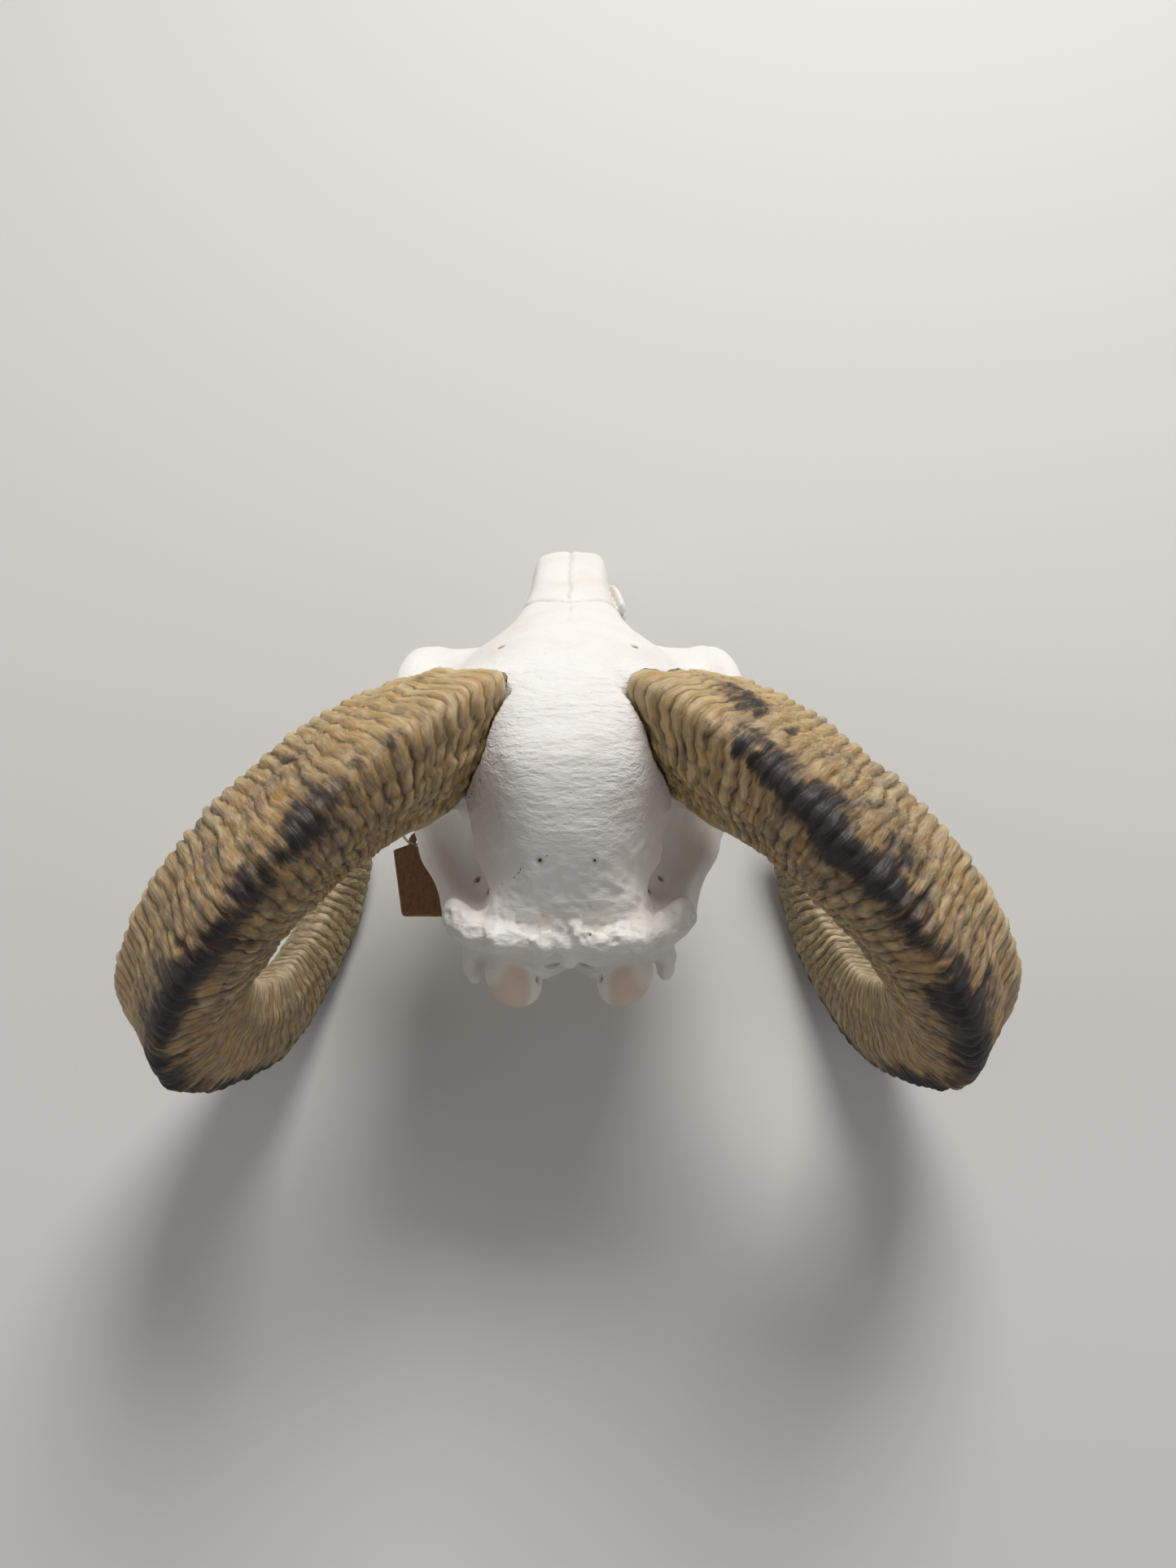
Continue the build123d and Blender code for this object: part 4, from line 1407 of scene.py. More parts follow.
    def arch(self, f: Array) -> None:
        """Cuts the hollow behind the horn and adds the cheek arch and the ear's swelling.

        Args:
            f: the distance field, changed in place.
        """
        self.ball(f, (58.0, -34.0, 74.0), (21.0, 26.0, 22.0), 6.0, cut=True)
        self.rope(f, ((42.0, -4.0, 52.0), (45.0, -16.0, 47.0), (47.0, -28.0, 46.0),
                      (56.0, -42.0, 46.5), (63.0, -56.0, 48.0), (66.0, -72.0, 49.0),
                      (65.5, -88.0, 49.0)), (6.5, 5.0, 5.0, 4.6, 3.8, 3.6, 4.5), 5.0, 1.25)
        self.ball(f, (45.0, -6.0, 56.0), (5.5, 7.0, 8.0), 5.0)
        self.rope(f, ((36.0, -10.0, 44.0), (43.0, -28.0, 42.0), (53.0, -48.0, 46.0),
                      (50.0, -66.0, 50.0), (50.0, -84.0, 52.0)),
                  (11.0, 11.0, 10.0, 12.0, 12.0), 6.0, 0.55)
        self.ball(f, (40.0, -18.0, 42.0), (12.0, 14.0, 12.0), 6.0)
        self.rope(f, ((38.5, -6.0, 66.0), (40.0, -18.0, 61.0), (45.0, -33.0, 59.5),
                      (51.0, -50.0, 61.0)), (5.0, 8.0, 9.5, 10.0), 4.0, cut=True)

    def socket(self, f: Array) -> None:
        """Adds brow and cheek, and the eye socket with its rim.

        Args:
            f: the distance field, changed in place.
        """
        _, oy, oz = self.orbit
        self.ball(f, (50.0, -101.0, 84.0), (19.0, 20.0, 9.0), 9.0, lean=18.0)
        self.ball(f, (47.0, -109.0, 54.0), (17.0, 22.0, 13.0), 8.0)
        spot, x, y, z = self.near((26.0, oy - 40, oz - 40), (80.0, oy + 40, oz + 40))
        away = np.hypot(y - oy, z - oz)
        facing = (x - 64.5) - 0.28 * (y - oy) - 0.10 * (z - oz)
        ring = np.hypot(away - 24.2, facing * 0.62) - 4.0
        wall = np.maximum(np.abs(away - 23.6) - 3.2, np.maximum(facing, 40.0 - x))
        self.merge(f, spot, soften(ring, wall, 2.5), 5.0, False)
        cone = away - (self.orbit_mm + 0.3 + 0.03 * (x - 60.0))
        self.merge(f, spot, np.maximum(cone, 50.0 - x), 2.0, True)
        self.ball(f, (50.0, oy, oz), (23.0, 20.6, 20.6), 2.0, cut=True)
        self.ball(f, (63.0, oy - 22.0, oz + 26.0), (8.0, 5.0, 7.0), 3.0, cut=True)

    def muzzle(self, f: Array) -> None:
        """Shapes the muzzle: its side hollow, the cheek ridge and the snout's prongs.

        Args:
            f: the distance field, changed in place.
        """
        self.ball(f, (33.0, -170.0, 66.0), (9.0, 30.0, 18.0), 8.0, cut=True)
        self.ball(f, (38.0, -142.0, 34.0), (6.0, 22.0, 7.0), 8.0, swing=-8.0)
        spot, x, y, z = self.near((0.0, -290.0, -30.0), (80.0, -200.0, 140.0))
        snout_gap = np.maximum(y + 216.0, -self.nasal_seam(y, z))
        self.merge(f, spot, np.broadcast_to(snout_gap, f[spot].shape), 2.0, True)
        lobe = y + 236.0 - 12.0 * (np.abs(x - 7.8) / 8.8) ** 2.4
        f[spot] = np.maximum(f[spot], -np.minimum(lobe, 10.0))
        self.rope(f, ((20.5, -203.0, 44.0), (18.5, -222.0, 35.0), (14.5, -243.0, 21.0),
                      (10.5, -258.0, 11.0), (8.0, -266.5, 8.0)),
                  (3.4, 3.0, 3.2, 3.6, 3.4), 4.0, 1.7)
        self.rope(f, ((20.0, -203.0, 30.0), (17.0, -224.0, 22.0), (13.0, -244.0, 13.0),
                      (9.0, -260.0, 7.5)), (3.0, 2.6, 3.0, 3.2), 4.0, 2.2)
        self.rope(f, ((7.0, -205.0, 4.5), (5.0, -232.0, 5.0), (4.5, -262.0, 6.5)),
                  (3.2, 2.2, 2.4), 3.0)
        self.rope(f, ((19.0, -196.0, 6.0), (15.0, -218.0, 6.0), (12.0, -240.0, 7.0)),
                  (4.0, 3.2, 2.8), 3.0)

    def inner_rooms(self, f: Array) -> None:
        """Hollows out the nose's tunnel and the braincase.

        Args:
            f: the distance field, changed in place.
        """
        spot, x, y, z = self.near((0.0, -246.0, -30.0), (80.0, -100.0, 140.0))
        t = np.clip((y + 246.0) / 146.0, 0.0, 1.0)
        top, low = 54.0 + 40.0 * t - 8.0 * t * t, 13.0 - 2.0 * t
        wide = 13.0 + 15.0 * np.sin(t * 2.6)
        tunnel = (np.sqrt((x / wide) ** 2 + ((z - (top + low) / 2) / ((top - low) / 2)) ** 2)
                  - 1.0) * np.minimum(wide, (top - low) / 2)
        self.merge(f, spot, np.maximum(tunnel, y + 106.0), 2.0, True)
        self.ball(f, (0.0, -54.0, 56.0), (27.0, 42.0, 33.0), 0.0, cut=True)

    def underside(self, f: Array) -> None:
        """Shapes the hollow palate, the throat behind it, and the skull's floor.

        Args:
            f: the distance field, changed in place.
        """
        self.ball(f, (0.0, -170.0, 0.0), (17.0, 66.0, 5.5), 4.0, cut=True)
        self.ball(f, (0.0, -96.0, 14.0), (11.0, 24.0, 17.0), 4.0, cut=True)
        self.rope(f, ((13.0, -112.0, 12.0), (12.0, -90.0, 10.0), (12.5, -76.0, 14.0)),
                  (2.2, 1.8, 2.0), 3.0, 2.6)
        self.ball(f, (34.0, -72.0, 16.0), (13.0, 22.0, 17.0), 8.0, cut=True)
        self.ball(f, (27.0, -44.0, 4.0), (8.0, 20.0, 6.0), 5.0, cut=True)
        self.rope(f, ((7.0, -14.0, 7.0), (8.0, -30.0, 6.0), (5.0, -58.0, 9.0)),
                  (5.0, 5.0, 4.5), 5.0)

    def nape(self, f: Array) -> None:
        """Shapes the back: crest, condyles, neck processes and the great hole.

        Args:
            f: the distance field, changed in place.
        """
        self.ball(f, (20.0, 20.0, 44.0), (18.0, 13.5, 13.0), 5.0, cut=True)
        self.ball(f, (0.0, 12.0, 10.0), (13.0, 24.0, 12.0), 3.0, cut=True)
        self.rope(f, ((0.0, 7.0, 62.0), (12.0, 10.0, 62.5), (26.0, 9.0, 62.0),
                      (38.0, 3.0, 60.0), (45.0, -6.0, 58.0)), (5.2, 5.6, 5.4, 4.8, 4.6), 4.0)
        self.rope(f, ((0.0, 7.0, 60.0), (0.0, 11.0, 50.0), (0.0, 11.0, 44.0)),
                  (3.0, 2.6, 2.4), 5.0)
        self.ball(f, (23.5, 3.5, 23.0), (9.0, 12.5, 16.5), 2.5, lean=32.0, swing=14.0)
        self.ball(f, (41.0, -5.0, 22.0), (4.2, 6.0, 17.0), 5.0, swing=6.0)
        self.ball(f, (12.5, 7.0, 67.0), (6.5, 4.0, 3.0), 2.0, cut=True)
        self.ball(f, (0.0, 13.0, 66.5), (3.0, 7.0, 3.5), 2.5, cut=True)
        spot, x, y, z = self.near((0.0, -30.0, 8.0), (16.0, 30.0, 50.0))
        hole = np.hypot(x, (z - 27.95) * (1 - 0.05 * np.sign(z - 27.95))) - 10.7
        self.merge(f, spot, np.broadcast_to(hole, f[spot].shape), 2.0, True)
        self.ball(f, (0.0, 12.0, 41.0), (3.6, 6.0, 4.0), 2.0, cut=True)

    def horn_seats(self, f: Array) -> None:
        """Raises the bone under the left sheath and clears the room of the sheath.

        Args:
            f: the distance field, changed in place.
        """
        spot, x, y, z = self.near((12.0, -135.0, 40.0), (80.0, 10.0, 136.0))
        x, y, z = np.broadcast_arrays(x, y, z)
        points = np.stack([x, y, z], axis=-1)
        outside, turn = HORN.outside(points)
        above = HORN.above_rim(points)
        burr = 0.9 * Grain.waves(points, 5.0, 31, 2)
        seat = np.maximum(outside + self.seat_inset - 0.9 * gauss(above + 5.0, 2.5) + burr,
                          np.maximum(above + 0.3, -above - 34.0))
        here = soften(f[spot], seat.astype(np.float32), 6.0)
        here = np.where(above > 0, np.minimum(f[spot], here), here)
        room = np.maximum(outside - self.sheath_room, -above - 0.2)
        room = np.where(turn > 80.0, 50.0, room)
        f[spot] = np.maximum(here, -room)

    def holes(self, f: Array) -> None:
        """Drills the nerve holes and cuts the small notches of the rims.

        Args:
            f: the distance field, changed in place.
        """
        for route, size in (
                (((27.5, -97.0, 118.0), (29.0, -98.0, 98.0)), 1.3),
                (((11.0, -5.0, 96.0), (10.0, -12.0, 84.0)), 0.9),
                (((30.0, -168.0, 44.0), (24.0, -160.0, 40.0)), 2.6),
                (((38.0, -14.0, 60.0), (30.0, -20.0, 52.0)), 1.1),
                (((41.0, -24.0, 54.0), (32.0, -30.0, 48.0)), 1.0),
                (((14.0, 4.0, 22.0), (26.0, -4.0, 14.0)), 1.8),
                (((46.0, -10.0, 36.0), (36.0, -14.0, 34.0)), 2.4)):
            self.rope(f, route, (size, size), 0.6, cut=True)

    def teeth(self) -> tuple[Array, Array]:
        """The left cheek teeth.

        Returns:
            Their distance field, and the bone number of the nearest.
        """
        f = np.full(self.shape, 50.0, dtype=np.float32)
        label = np.zeros(self.shape, dtype=np.uint8)
        kinds = [bone for bone in Bone if bone.tooth]
        total = sum(self.teeth_mm) + self.tooth_gap * (len(self.teeth_mm) - 1)
        front = self.teeth_back - total
        for kind, length in zip(kinds, self.teeth_mm):
            middle = front + length / 2
            at = 26.0 - (self.teeth_back - middle) * math.sin(math.radians(5.0))
            spot, x, y, z = self.near((at - 10, middle - length, -18), (at + 10,
                                                                       middle + length, 8))
            lobes = 2 if length > 11 else 1
            wave = np.abs(np.cos((y - middle) / length * math.pi * lobes
                                 + (0.0 if lobes == 1 else math.pi / 2)))
            half = self.tooth_wide / 2 * (0.80 + 0.18 * wave) - 0.06 * (z + 13.0)
            box = np.maximum(np.abs(x - at - 0.08 * (z + 6)) - half,
                             np.abs(y - middle) - length / 2 + 0.25)
            ridges = 1.4 * np.abs(np.cos((y - middle) / length * math.pi * lobes)) \
                * (0.55 + 0.45 * smooth(x - at, -5.0, 5.0))
            crown = np.maximum(box, np.maximum(-(z + self.tooth_tall) + 1.6 - ridges, z - 5.0))
            crown = np.maximum(crown, np.hypot(np.maximum(box + 2.0, 0),
                                               np.maximum(-(z + 11.5), 0)) - 2.0)
            here = crown < f[spot]
            f[spot] = np.where(here, crown, f[spot])
            label[spot] = np.where(here, kind.value, label[spot])
            front += length + self.tooth_gap
        return f, label

    def name_bones(self, x: Array, y: Array, z: Array) -> Array:
        """Which bone of the left half each place belongs to.

        Args:
            x: distance from the midline, in mm.
            y: distance back from the crest, in mm.
            z: height over the palate, in mm.

        Returns:
            Bone numbers.
        """
        x, y, z = np.broadcast_arrays(x, y, z)
        place = np.stack([x, y, z], axis=-1)
        jag = 1.6 * Grain.waves(place * np.array([1, 0.6, 0.6]), 4.2, 41, 2)
        y1, z1 = y + jag, z + jag
        bone = np.full(x.shape, Bone.MAXILLA.value, dtype=np.uint8)
        fronto, seam = self.forehead_seam(x), self.nasal_seam(y1, z1)
        rules = (
            (Bone.LACRIMAL, (y1 > self.nasal_root) & (z1 > 44.2)),
            (Bone.PALATINE, (x < 15.4) & (y1 > -143.5) & (z1 < 20.8)),
            (Bone.ZYGOMATIC, (x > 47.0) & (y1 > self.nasal_root)),
            (Bone.SPHENOID, (y1 > -99.4) & ((x < 16.3) | ((y1 < -60.7) & (x < 47.0)))),
            (Bone.TEMPORAL, (y1 > -60.7) & (x > 16.3) | (y1 > -66.2) & (x > 47.0)),
            (Bone.FRONTAL, (y1 > fronto) & (z1 > 65.0)),
            (Bone.PARIETAL, (y1 > -35.9) & (z1 > 65.0)),
            (Bone.OCCIPITAL, y1 > -8.3),
            (Bone.NASAL, (y1 <= fronto) & (seam < 0)),
            (Bone.PREMAXILLA, (y1 < -213.9) & (seam >= 0)),
            (Bone.TYMPANIC_BULLA, ((x - 27.8) / 8.6) ** 2 + ((y + 27.6) / 12.6) ** 2
             + ((z - 3.0) / 10.5) ** 2 < 1.0),
        )
        for kind, where in rules:
            bone[where] = kind.value
        crown = HORN.outside(place[x > 12])[0] < 0.5 if (x > 12).any() else None
        if crown is not None:
            spot = x > 12
            bone[spot] = np.where(crown & (bone[spot] == Bone.PARIETAL.value),
                                  Bone.FRONTAL.value, bone[spot])
        return bone

    def whole(self) -> tuple[Array, Array, Array]:
        """Both halves: the field, the bone numbers and where the grid starts.

        Returns:
            Distance field, bone numbers (the right side's are one more), and grid origin.
        """
        f = self.carve()
        self.ball(f, (27.8, -27.6, 4.5), (8.0, 12.0, 9.0), 1.5)
        teeth, kinds = self.teeth()
        near = np.abs(f) < 60.0
        label = np.zeros(self.shape, dtype=np.uint8)
        solid = f < 0
        i, j, k = np.nonzero(solid & near)
        label[i, j, k] = self.name_bones(self.x[i], self.y[j], self.z[k])
        tooth = teeth < 0
        label[tooth] = kinds[tooth]
        f = np.minimum(f, teeth)
        right = np.where(label > 3, label + 1, label)
        both = np.concatenate([right[::-1], label])
        f = np.concatenate([f[::-1], f])
        origin = np.array([-self.x[-1], self.y[0], self.z[0]])
        self.splint(f, origin)
        i, j, k = np.nonzero(np.abs(f) < 3.0)
        spots = np.stack([i, j, k], axis=-1) * self.step + origin
        f[i, j, k] -= self.weather(spots).astype(np.float32)
        both[f >= 0] = 0
        lost = (f < 0) & (both == 0)
        i, j, k = np.nonzero(lost)
        spots = np.stack([i, j, k], axis=-1) * self.step + origin
        named = self.name_bones(np.abs(spots[:, 0]), spots[:, 1], spots[:, 2])
        side = (spots[:, 0] < 0) & (named > 3)
        both[i, j, k] = named + side
        return f, both, origin

    def splint(self, f: Array, origin: Array) -> None:
        """Adds the loose splint of bone beside the right nasal, standing off its seam.

        Args:
            f: distance field of the whole head, changed in place.
            origin: where its grid starts, in mm.
        """
        at = np.array([-22.5, -160.0, 84.0])
        low = ((at - 16.0 - origin) / self.step).astype(int)
        high = ((at + 16.0 - origin) / self.step).astype(int)
        spot = tuple(slice(a, b) for a, b in zip(low, high))
        i, j, k = np.meshgrid(*[np.arange(a, b) for a, b in zip(low, high)], indexing="ij")
        d = np.stack([i, j, k], axis=-1) * self.step + origin - at
        d[..., 0] += 0.28 * d[..., 1]
        plate = (np.sqrt((d[..., 0] / 2.4) ** 2 + (d[..., 1] / 11.0) ** 2
                         + (d[..., 2] / 6.0) ** 2) - 1.0) * 2.4
        f[spot] = np.minimum(f[spot], plate)

    def weather(self, p: Array) -> Array:
        """Height of the bone's own unevenness, different on the two sides.

        Args:
            p: places in mm.

        Returns:
            Height to add at each place, in mm.
        """
        x, y, z = p[:, 0], p[:, 1], p[:, 2]
        lumps = Grain.waves(p, 15.0, 51, 2)
        fine = Grain.waves(p, 5.0, 52, 2)
        height = 0.45 * lumps + 0.12 * fine
        crest = gauss(np.minimum(z - 61.0, 0), 9.0) * smooth(y, -12.0, 0.0) \
            * smooth(z, 50.0, 56.0)
        height += crest * (0.6 + 1.6 * Grain.waves(p, 5.5, 53, 2)
                           - 2.4 * np.abs(Grain.waves(p, 3.6, 54, 2)))
        low = smooth(y, -16.0, -6.0) * smooth(np.abs(x), 33.0, 38.0) * (1 - smooth(z, 34.0, 46.0))
        height += low * 0.9 * Grain.waves(p, 4.0, 55, 2)
        ridge_x = np.interp(y, (-40.0, -28.0, -18.0, -14.0, -7.0, -2.0),
                            (44.0, 38.5, 30.5, 25.0, 27.0, 30.0))
        ridge = gauss(np.abs(x) - ridge_x, 2.8) * smooth(z, 58.0, 66.0) * smooth(y, -42.0, -30.0)
        height += ridge * (0.9 + 1.1 * Grain.waves(p, 4.0, 56, 2))
        dry = smooth(z, 85.0, 100.0) * smooth(y, -112.0, -70.0)
        height += dry * 0.28 * Grain.waves(p * np.array([0.25, 1.0, 1.0]), 2.6, 57, 2)
        height += 0.35 * dry * Grain.waves(p * np.array([0.35, 1.0, 1.0]), 7.0, 58)
        height -= self.sutures(x, y, z, p)
        return height

    def sutures(self, x: Array, y: Array, z: Array, p: Array) -> Array:
        """Depth of the seams that show: nose to forehead, between the nasals, and forehead.

        Args:
            x: distance from the midline, in mm.
            y: distance back from the crest, in mm.
            z: height over the palate, in mm.
            p: the same places together.

        Returns:
            Depth in mm.
        """
        jag = 1.6 * Grain.waves(np.abs(p) * np.array([1, -0.6, 0.6]), 4.2, 41, 2)
        high = smooth(z, 62.0, 70.0)
        aside = np.abs(x)
        across = gauss(y + jag - self.forehead_seam(aside), 1.0) * high \
            * (1 - smooth(aside, 22.0, 27.0))
        wander = 0.7 * Grain.waves(p * np.array([0, 1, 0]), 5.0, 61)
        middle = gauss(x - wander, 0.9) * high * (1 - smooth(y, -146.0, -138.0))
        crack = gauss(x - 1.4 * wander, 0.8) * high * (
            gauss(y + 131.0, 6.0) + 0.8 * gauss(y + 117.0, 5.0))
        return 1.7 * across + 1.3 * middle + 1.2 * crack

    def paint(self, p: Array, hollow: Array) -> dict[str, Array]:
        """Values painted on the bone.

        Args:
            p: places in mm.
            hollow: how deep each place lies in a hollow, 0 to 1.

        Returns:
            Painted values by name.
        """
        x, y, z = np.abs(p[:, 0]), p[:, 1], p[:, 2]
        dry = smooth(z, 82.0, 104.0) * smooth(y, -118.0, -75.0)
        near_horn = gauss(x - 34.0, 22.0) * smooth(y, -110.0, -60.0)
        condyle = 1 - smooth(((x - 25.5) / 10.0) ** 2 + ((y - 8.0) / 11.5) ** 2
                             + ((z - 22.0) / 15.0) ** 2, 0.75, 1.15)
        # painted shade in and round the nerve holes, wider than the drilled holes; the suture
        # lines added below are the bone's own darker seams
        hole_shade_and_seams = np.zeros_like(x)
        for at, size, share in (((28.5, -97.5, 109.0), 2.2, 0.75), ((36.5, -15.5, 57.0), 1.6, 0.8),
                                ((38.0, -26.0, 51.0), 1.5, 0.8), ((10.5, -8.0, 90.0), 1.3, 0.5)):
            away = np.sqrt((x - at[0]) ** 2 + (y - at[1]) ** 2 + (z - at[2]) ** 2)
            hole_shade_and_seams = np.maximum(hole_shade_and_seams, share * (1 - smooth(away, size * 0.7, size * 1.5)))
        seams = self.sutures(p[:, 0], y, z, p)
        hole_shade_and_seams = np.maximum(hole_shade_and_seams, 0.28 * smooth(seams, 0.5, 1.5))
        # painted shade: darker cream laid in hollows and on the braincase's side under the horns
        cream = 0.55 * smooth(hollow, 0.2, 0.9) + 0.35 * gauss(y + 22.0, 20.0) \
            * smooth(x, 22.0, 34.0) * smooth(z, 50.0, 80.0)
        return {
            "wrinkled": np.clip(0.12 + dry * (0.4 + 0.6 * near_horn)
                                + 0.5 * smooth(y, -12.0, 4.0), 0.0, 1.0),
            "peach": 0.8 * np.clip(condyle * smooth(y, -6.0, 2.0), 0.0, 1.0),
            "hole_shade_and_seams": hole_shade_and_seams,
            "cream": np.clip(cream, 0.0, 1.0),
        }

    def build(self) -> list[Piece]:
        """Carves the head and makes one piece for each bone and tooth.

        Returns:
            The pieces.
        """
        f, label, origin = self.whole()
        label[0], label[-1] = 0, 0
        label[:, 0], label[:, -1] = 0, 0
        label[:, :, 0], label[:, :, -1] = 0, 0
        f = np.where((label == 0) & (f < 0), 0.2, f)
        points, ids = self.skin(f, label)
        slices = self.walls(label, ids)
        outer = np.concatenate([quads[bare] for quads, bare in slices.values()])
        where = points * self.step + origin
        crossed = np.cross(where[outer[:, 2]] - where[outer[:, 0]],
                           where[outer[:, 3]] - where[outer[:, 1]])
        normals = np.zeros_like(where)
        for corner in range(4):
            np.add.at(normals, outer[:, corner], crossed)
        normals = unit(normals)
        hollow = self.hollows(where, normals, outer)
        painted = self.paint(where, hollow)
        placed, facing = REST.place(where), REST.turn(normals)
        pieces = []
        for value, (quads, _) in sorted(slices.items()):
            kind = Bone(value) if value <= 3 or value % 2 == 0 else Bone(value - 1)
            name = kind.name.lower()
            if kind.paired:
                name += "_left" if value % 2 == 0 else "_right"
            used, corners = np.unique(quads, return_inverse=True)
            finish = ENAMEL if kind.tooth else BONE
            normal = facing[used]
            piece = make_piece(name.replace("_left", "_l").replace("_right", "_r"),
                               placed[used], corners.reshape(-1, 4).tolist(), finish,
                               {mark: values[used] for mark, values in painted.items()},
                               np.where(np.isfinite(normal), normal, [0.0, 0.0, 1.0]))
            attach(piece, "skull")
            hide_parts(name)
            pieces.append(piece)
        return pieces

    def hollows(self, where: Array, normals: Array, outer: Array) -> Array:
        """How deep each corner of the surface lies in a hollow.

        Args:
            where: corners in mm.
            normals: the way the surface faces at each.
            outer: faces of the outside.

        Returns:
            Values from 0, open, to 1, deep.
        """
        total = np.zeros(len(where))
        count = np.zeros(len(where))
        for a, b in ((0, 1), (1, 2), (2, 3), (3, 0)):
            p, q = outer[:, a], outer[:, b]
            bend = ((where[q] - where[p]) * (normals[q] - normals[p])).sum(axis=-1)
            for end in (p, q):
                np.add.at(total, end, bend)
                np.add.at(count, end, 1.0)
        bend = total / np.maximum(count, 1.0)
        for _ in range(3):
            spread = np.zeros(len(where))
            for a, b in ((0, 1), (1, 2), (2, 3), (3, 0)):
                np.add.at(spread, outer[:, a], bend[outer[:, b]])
                np.add.at(spread, outer[:, b], bend[outer[:, a]])
            bend = 0.4 * bend + 0.6 * spread / np.maximum(count, 1.0)
        return smooth(-bend, 0.02, 0.45)

    def skin(self, f: Array, label: Array) -> tuple[Array, Array]:
        """Places one corner in every grid cell that a surface passes through.

        Args:
            f: distance field.
            label: bone numbers.

        Returns:
            Corners in grid steps, and each cell's corner number.
        """
        low, high = label[:-1, :-1, :-1].copy(), label[:-1, :-1, :-1].copy()
        n = np.array(label.shape) - 1
        for c in range(1, 8):
            part = label[c & 1:n[0] + (c & 1), c >> 1 & 1:n[1] + (c >> 1 & 1),
                         c >> 2:n[2] + (c >> 2)]
            low, high = np.minimum(low, part), np.maximum(high, part)
        cells = np.stack(np.nonzero(low != high), axis=-1)
        ids = np.full(low.shape, -1, dtype=np.int32)
        ids[tuple(cells.T)] = np.arange(len(cells))
        steps = np.array([[c & 1, c >> 1 & 1, c >> 2] for c in range(8)])
        values = np.stack([f[tuple((cells + s).T)] for s in steps], axis=-1)
        kinds = np.stack([label[tuple((cells + s).T)] for s in steps], axis=-1)
        skin_sum, skin_n = np.zeros(cells.shape), np.zeros(len(cells))
        wall_sum, wall_n = np.zeros(cells.shape), np.zeros(len(cells))
        for a in range(8):
            for bit in (1, 2, 4):
                b = a | bit
                if b == a:
                    continue
                bare = (kinds[:, a] == 0) != (kinds[:, b] == 0)
                fa, fb = values[:, a], values[:, b]
                t = np.clip(fa / np.where(np.abs(fa - fb) < 1e-6, 1.0, fa - fb), 0.02, 0.98)
                at = steps[a] + (steps[b] - steps[a]) * t[:, None]
                skin_sum += np.where(bare[:, None], at, 0.0)
                skin_n += bare
                inner = (kinds[:, a] != kinds[:, b]) & ~bare
                wall_sum += np.where(inner[:, None], (steps[a] + steps[b]) / 2.0, 0.0)
                wall_n += inner
        at = np.where(skin_n[:, None] > 0, skin_sum / np.maximum(skin_n, 1)[:, None],
                      wall_sum / np.maximum(wall_n, 1)[:, None])
        return cells + at, ids

    def walls(self, label: Array, ids: Array) -> dict[int, tuple[Array, Array]]:
        """The faces round each bone.

        Args:
            label: bone numbers.
            ids: each cell's corner number.

        Returns:
            For each bone number its faces, and which of them are bare to the air.
        """
        found: dict[int, list] = {}
        for axis in range(3):
            first = [slice(1, -1)] * 3
            second = [slice(1, -1)] * 3
            first[axis], second[axis] = slice(0, -1), slice(1, None)
            a, b = label[tuple(first)], label[tuple(second)]
            spots = np.stack(np.nonzero(a != b), axis=-1)
            kind_a, kind_b = a[tuple(spots.T)], b[tuple(spots.T)]
            base = spots + np.array([0 if i == axis else 1 for i in range(3)])
            u, v = (axis + 1) % 3, (axis + 2) % 3
            quad = []
            for du, dv in ((1, 1), (0, 1), (0, 0), (1, 0)):
                cell = base.copy()
                cell[:, u] -= du
                cell[:, v] -= dv
                quad.append(ids[tuple(cell.T)])
            quad = np.stack(quad, axis=-1)
            for kinds, other, faces in ((kind_a, kind_b, quad), (kind_b, kind_a, quad[:, ::-1])):
                for value in np.unique(kinds):
                    if value:
                        mine = kinds == value
                        found.setdefault(int(value), []).append((faces[mine],
                                                                 other[mine] == 0))
        return {value: (np.concatenate([p[0] for p in parts]),
                        np.concatenate([p[1] for p in parts]))
                for value, parts in found.items()}


@dataclass
class InnerNose:
    """The thin bones inside the nose, which keep the shape of their CAD nodes."""

    nodes: tuple[str, ...] = ("vomer", "ethmoid", "nasal_concha_left", "nasal_concha_right")

    def build(self) -> list[Piece]:
        """Gives the thin bones their finish.

        Returns:
            The CAD nodes.
        """
        made = []
        for name in self.nodes:
            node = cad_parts[name]
            node.data.materials.clear()
            node.data.materials.append(INNER_BONE.material())
            made.append(node)
        return made


# ---------------------------------------------------------------- tag and loop
HANG = (0.0, 0.758, -0.652)         # the way that loop and card hang at rest, table frame


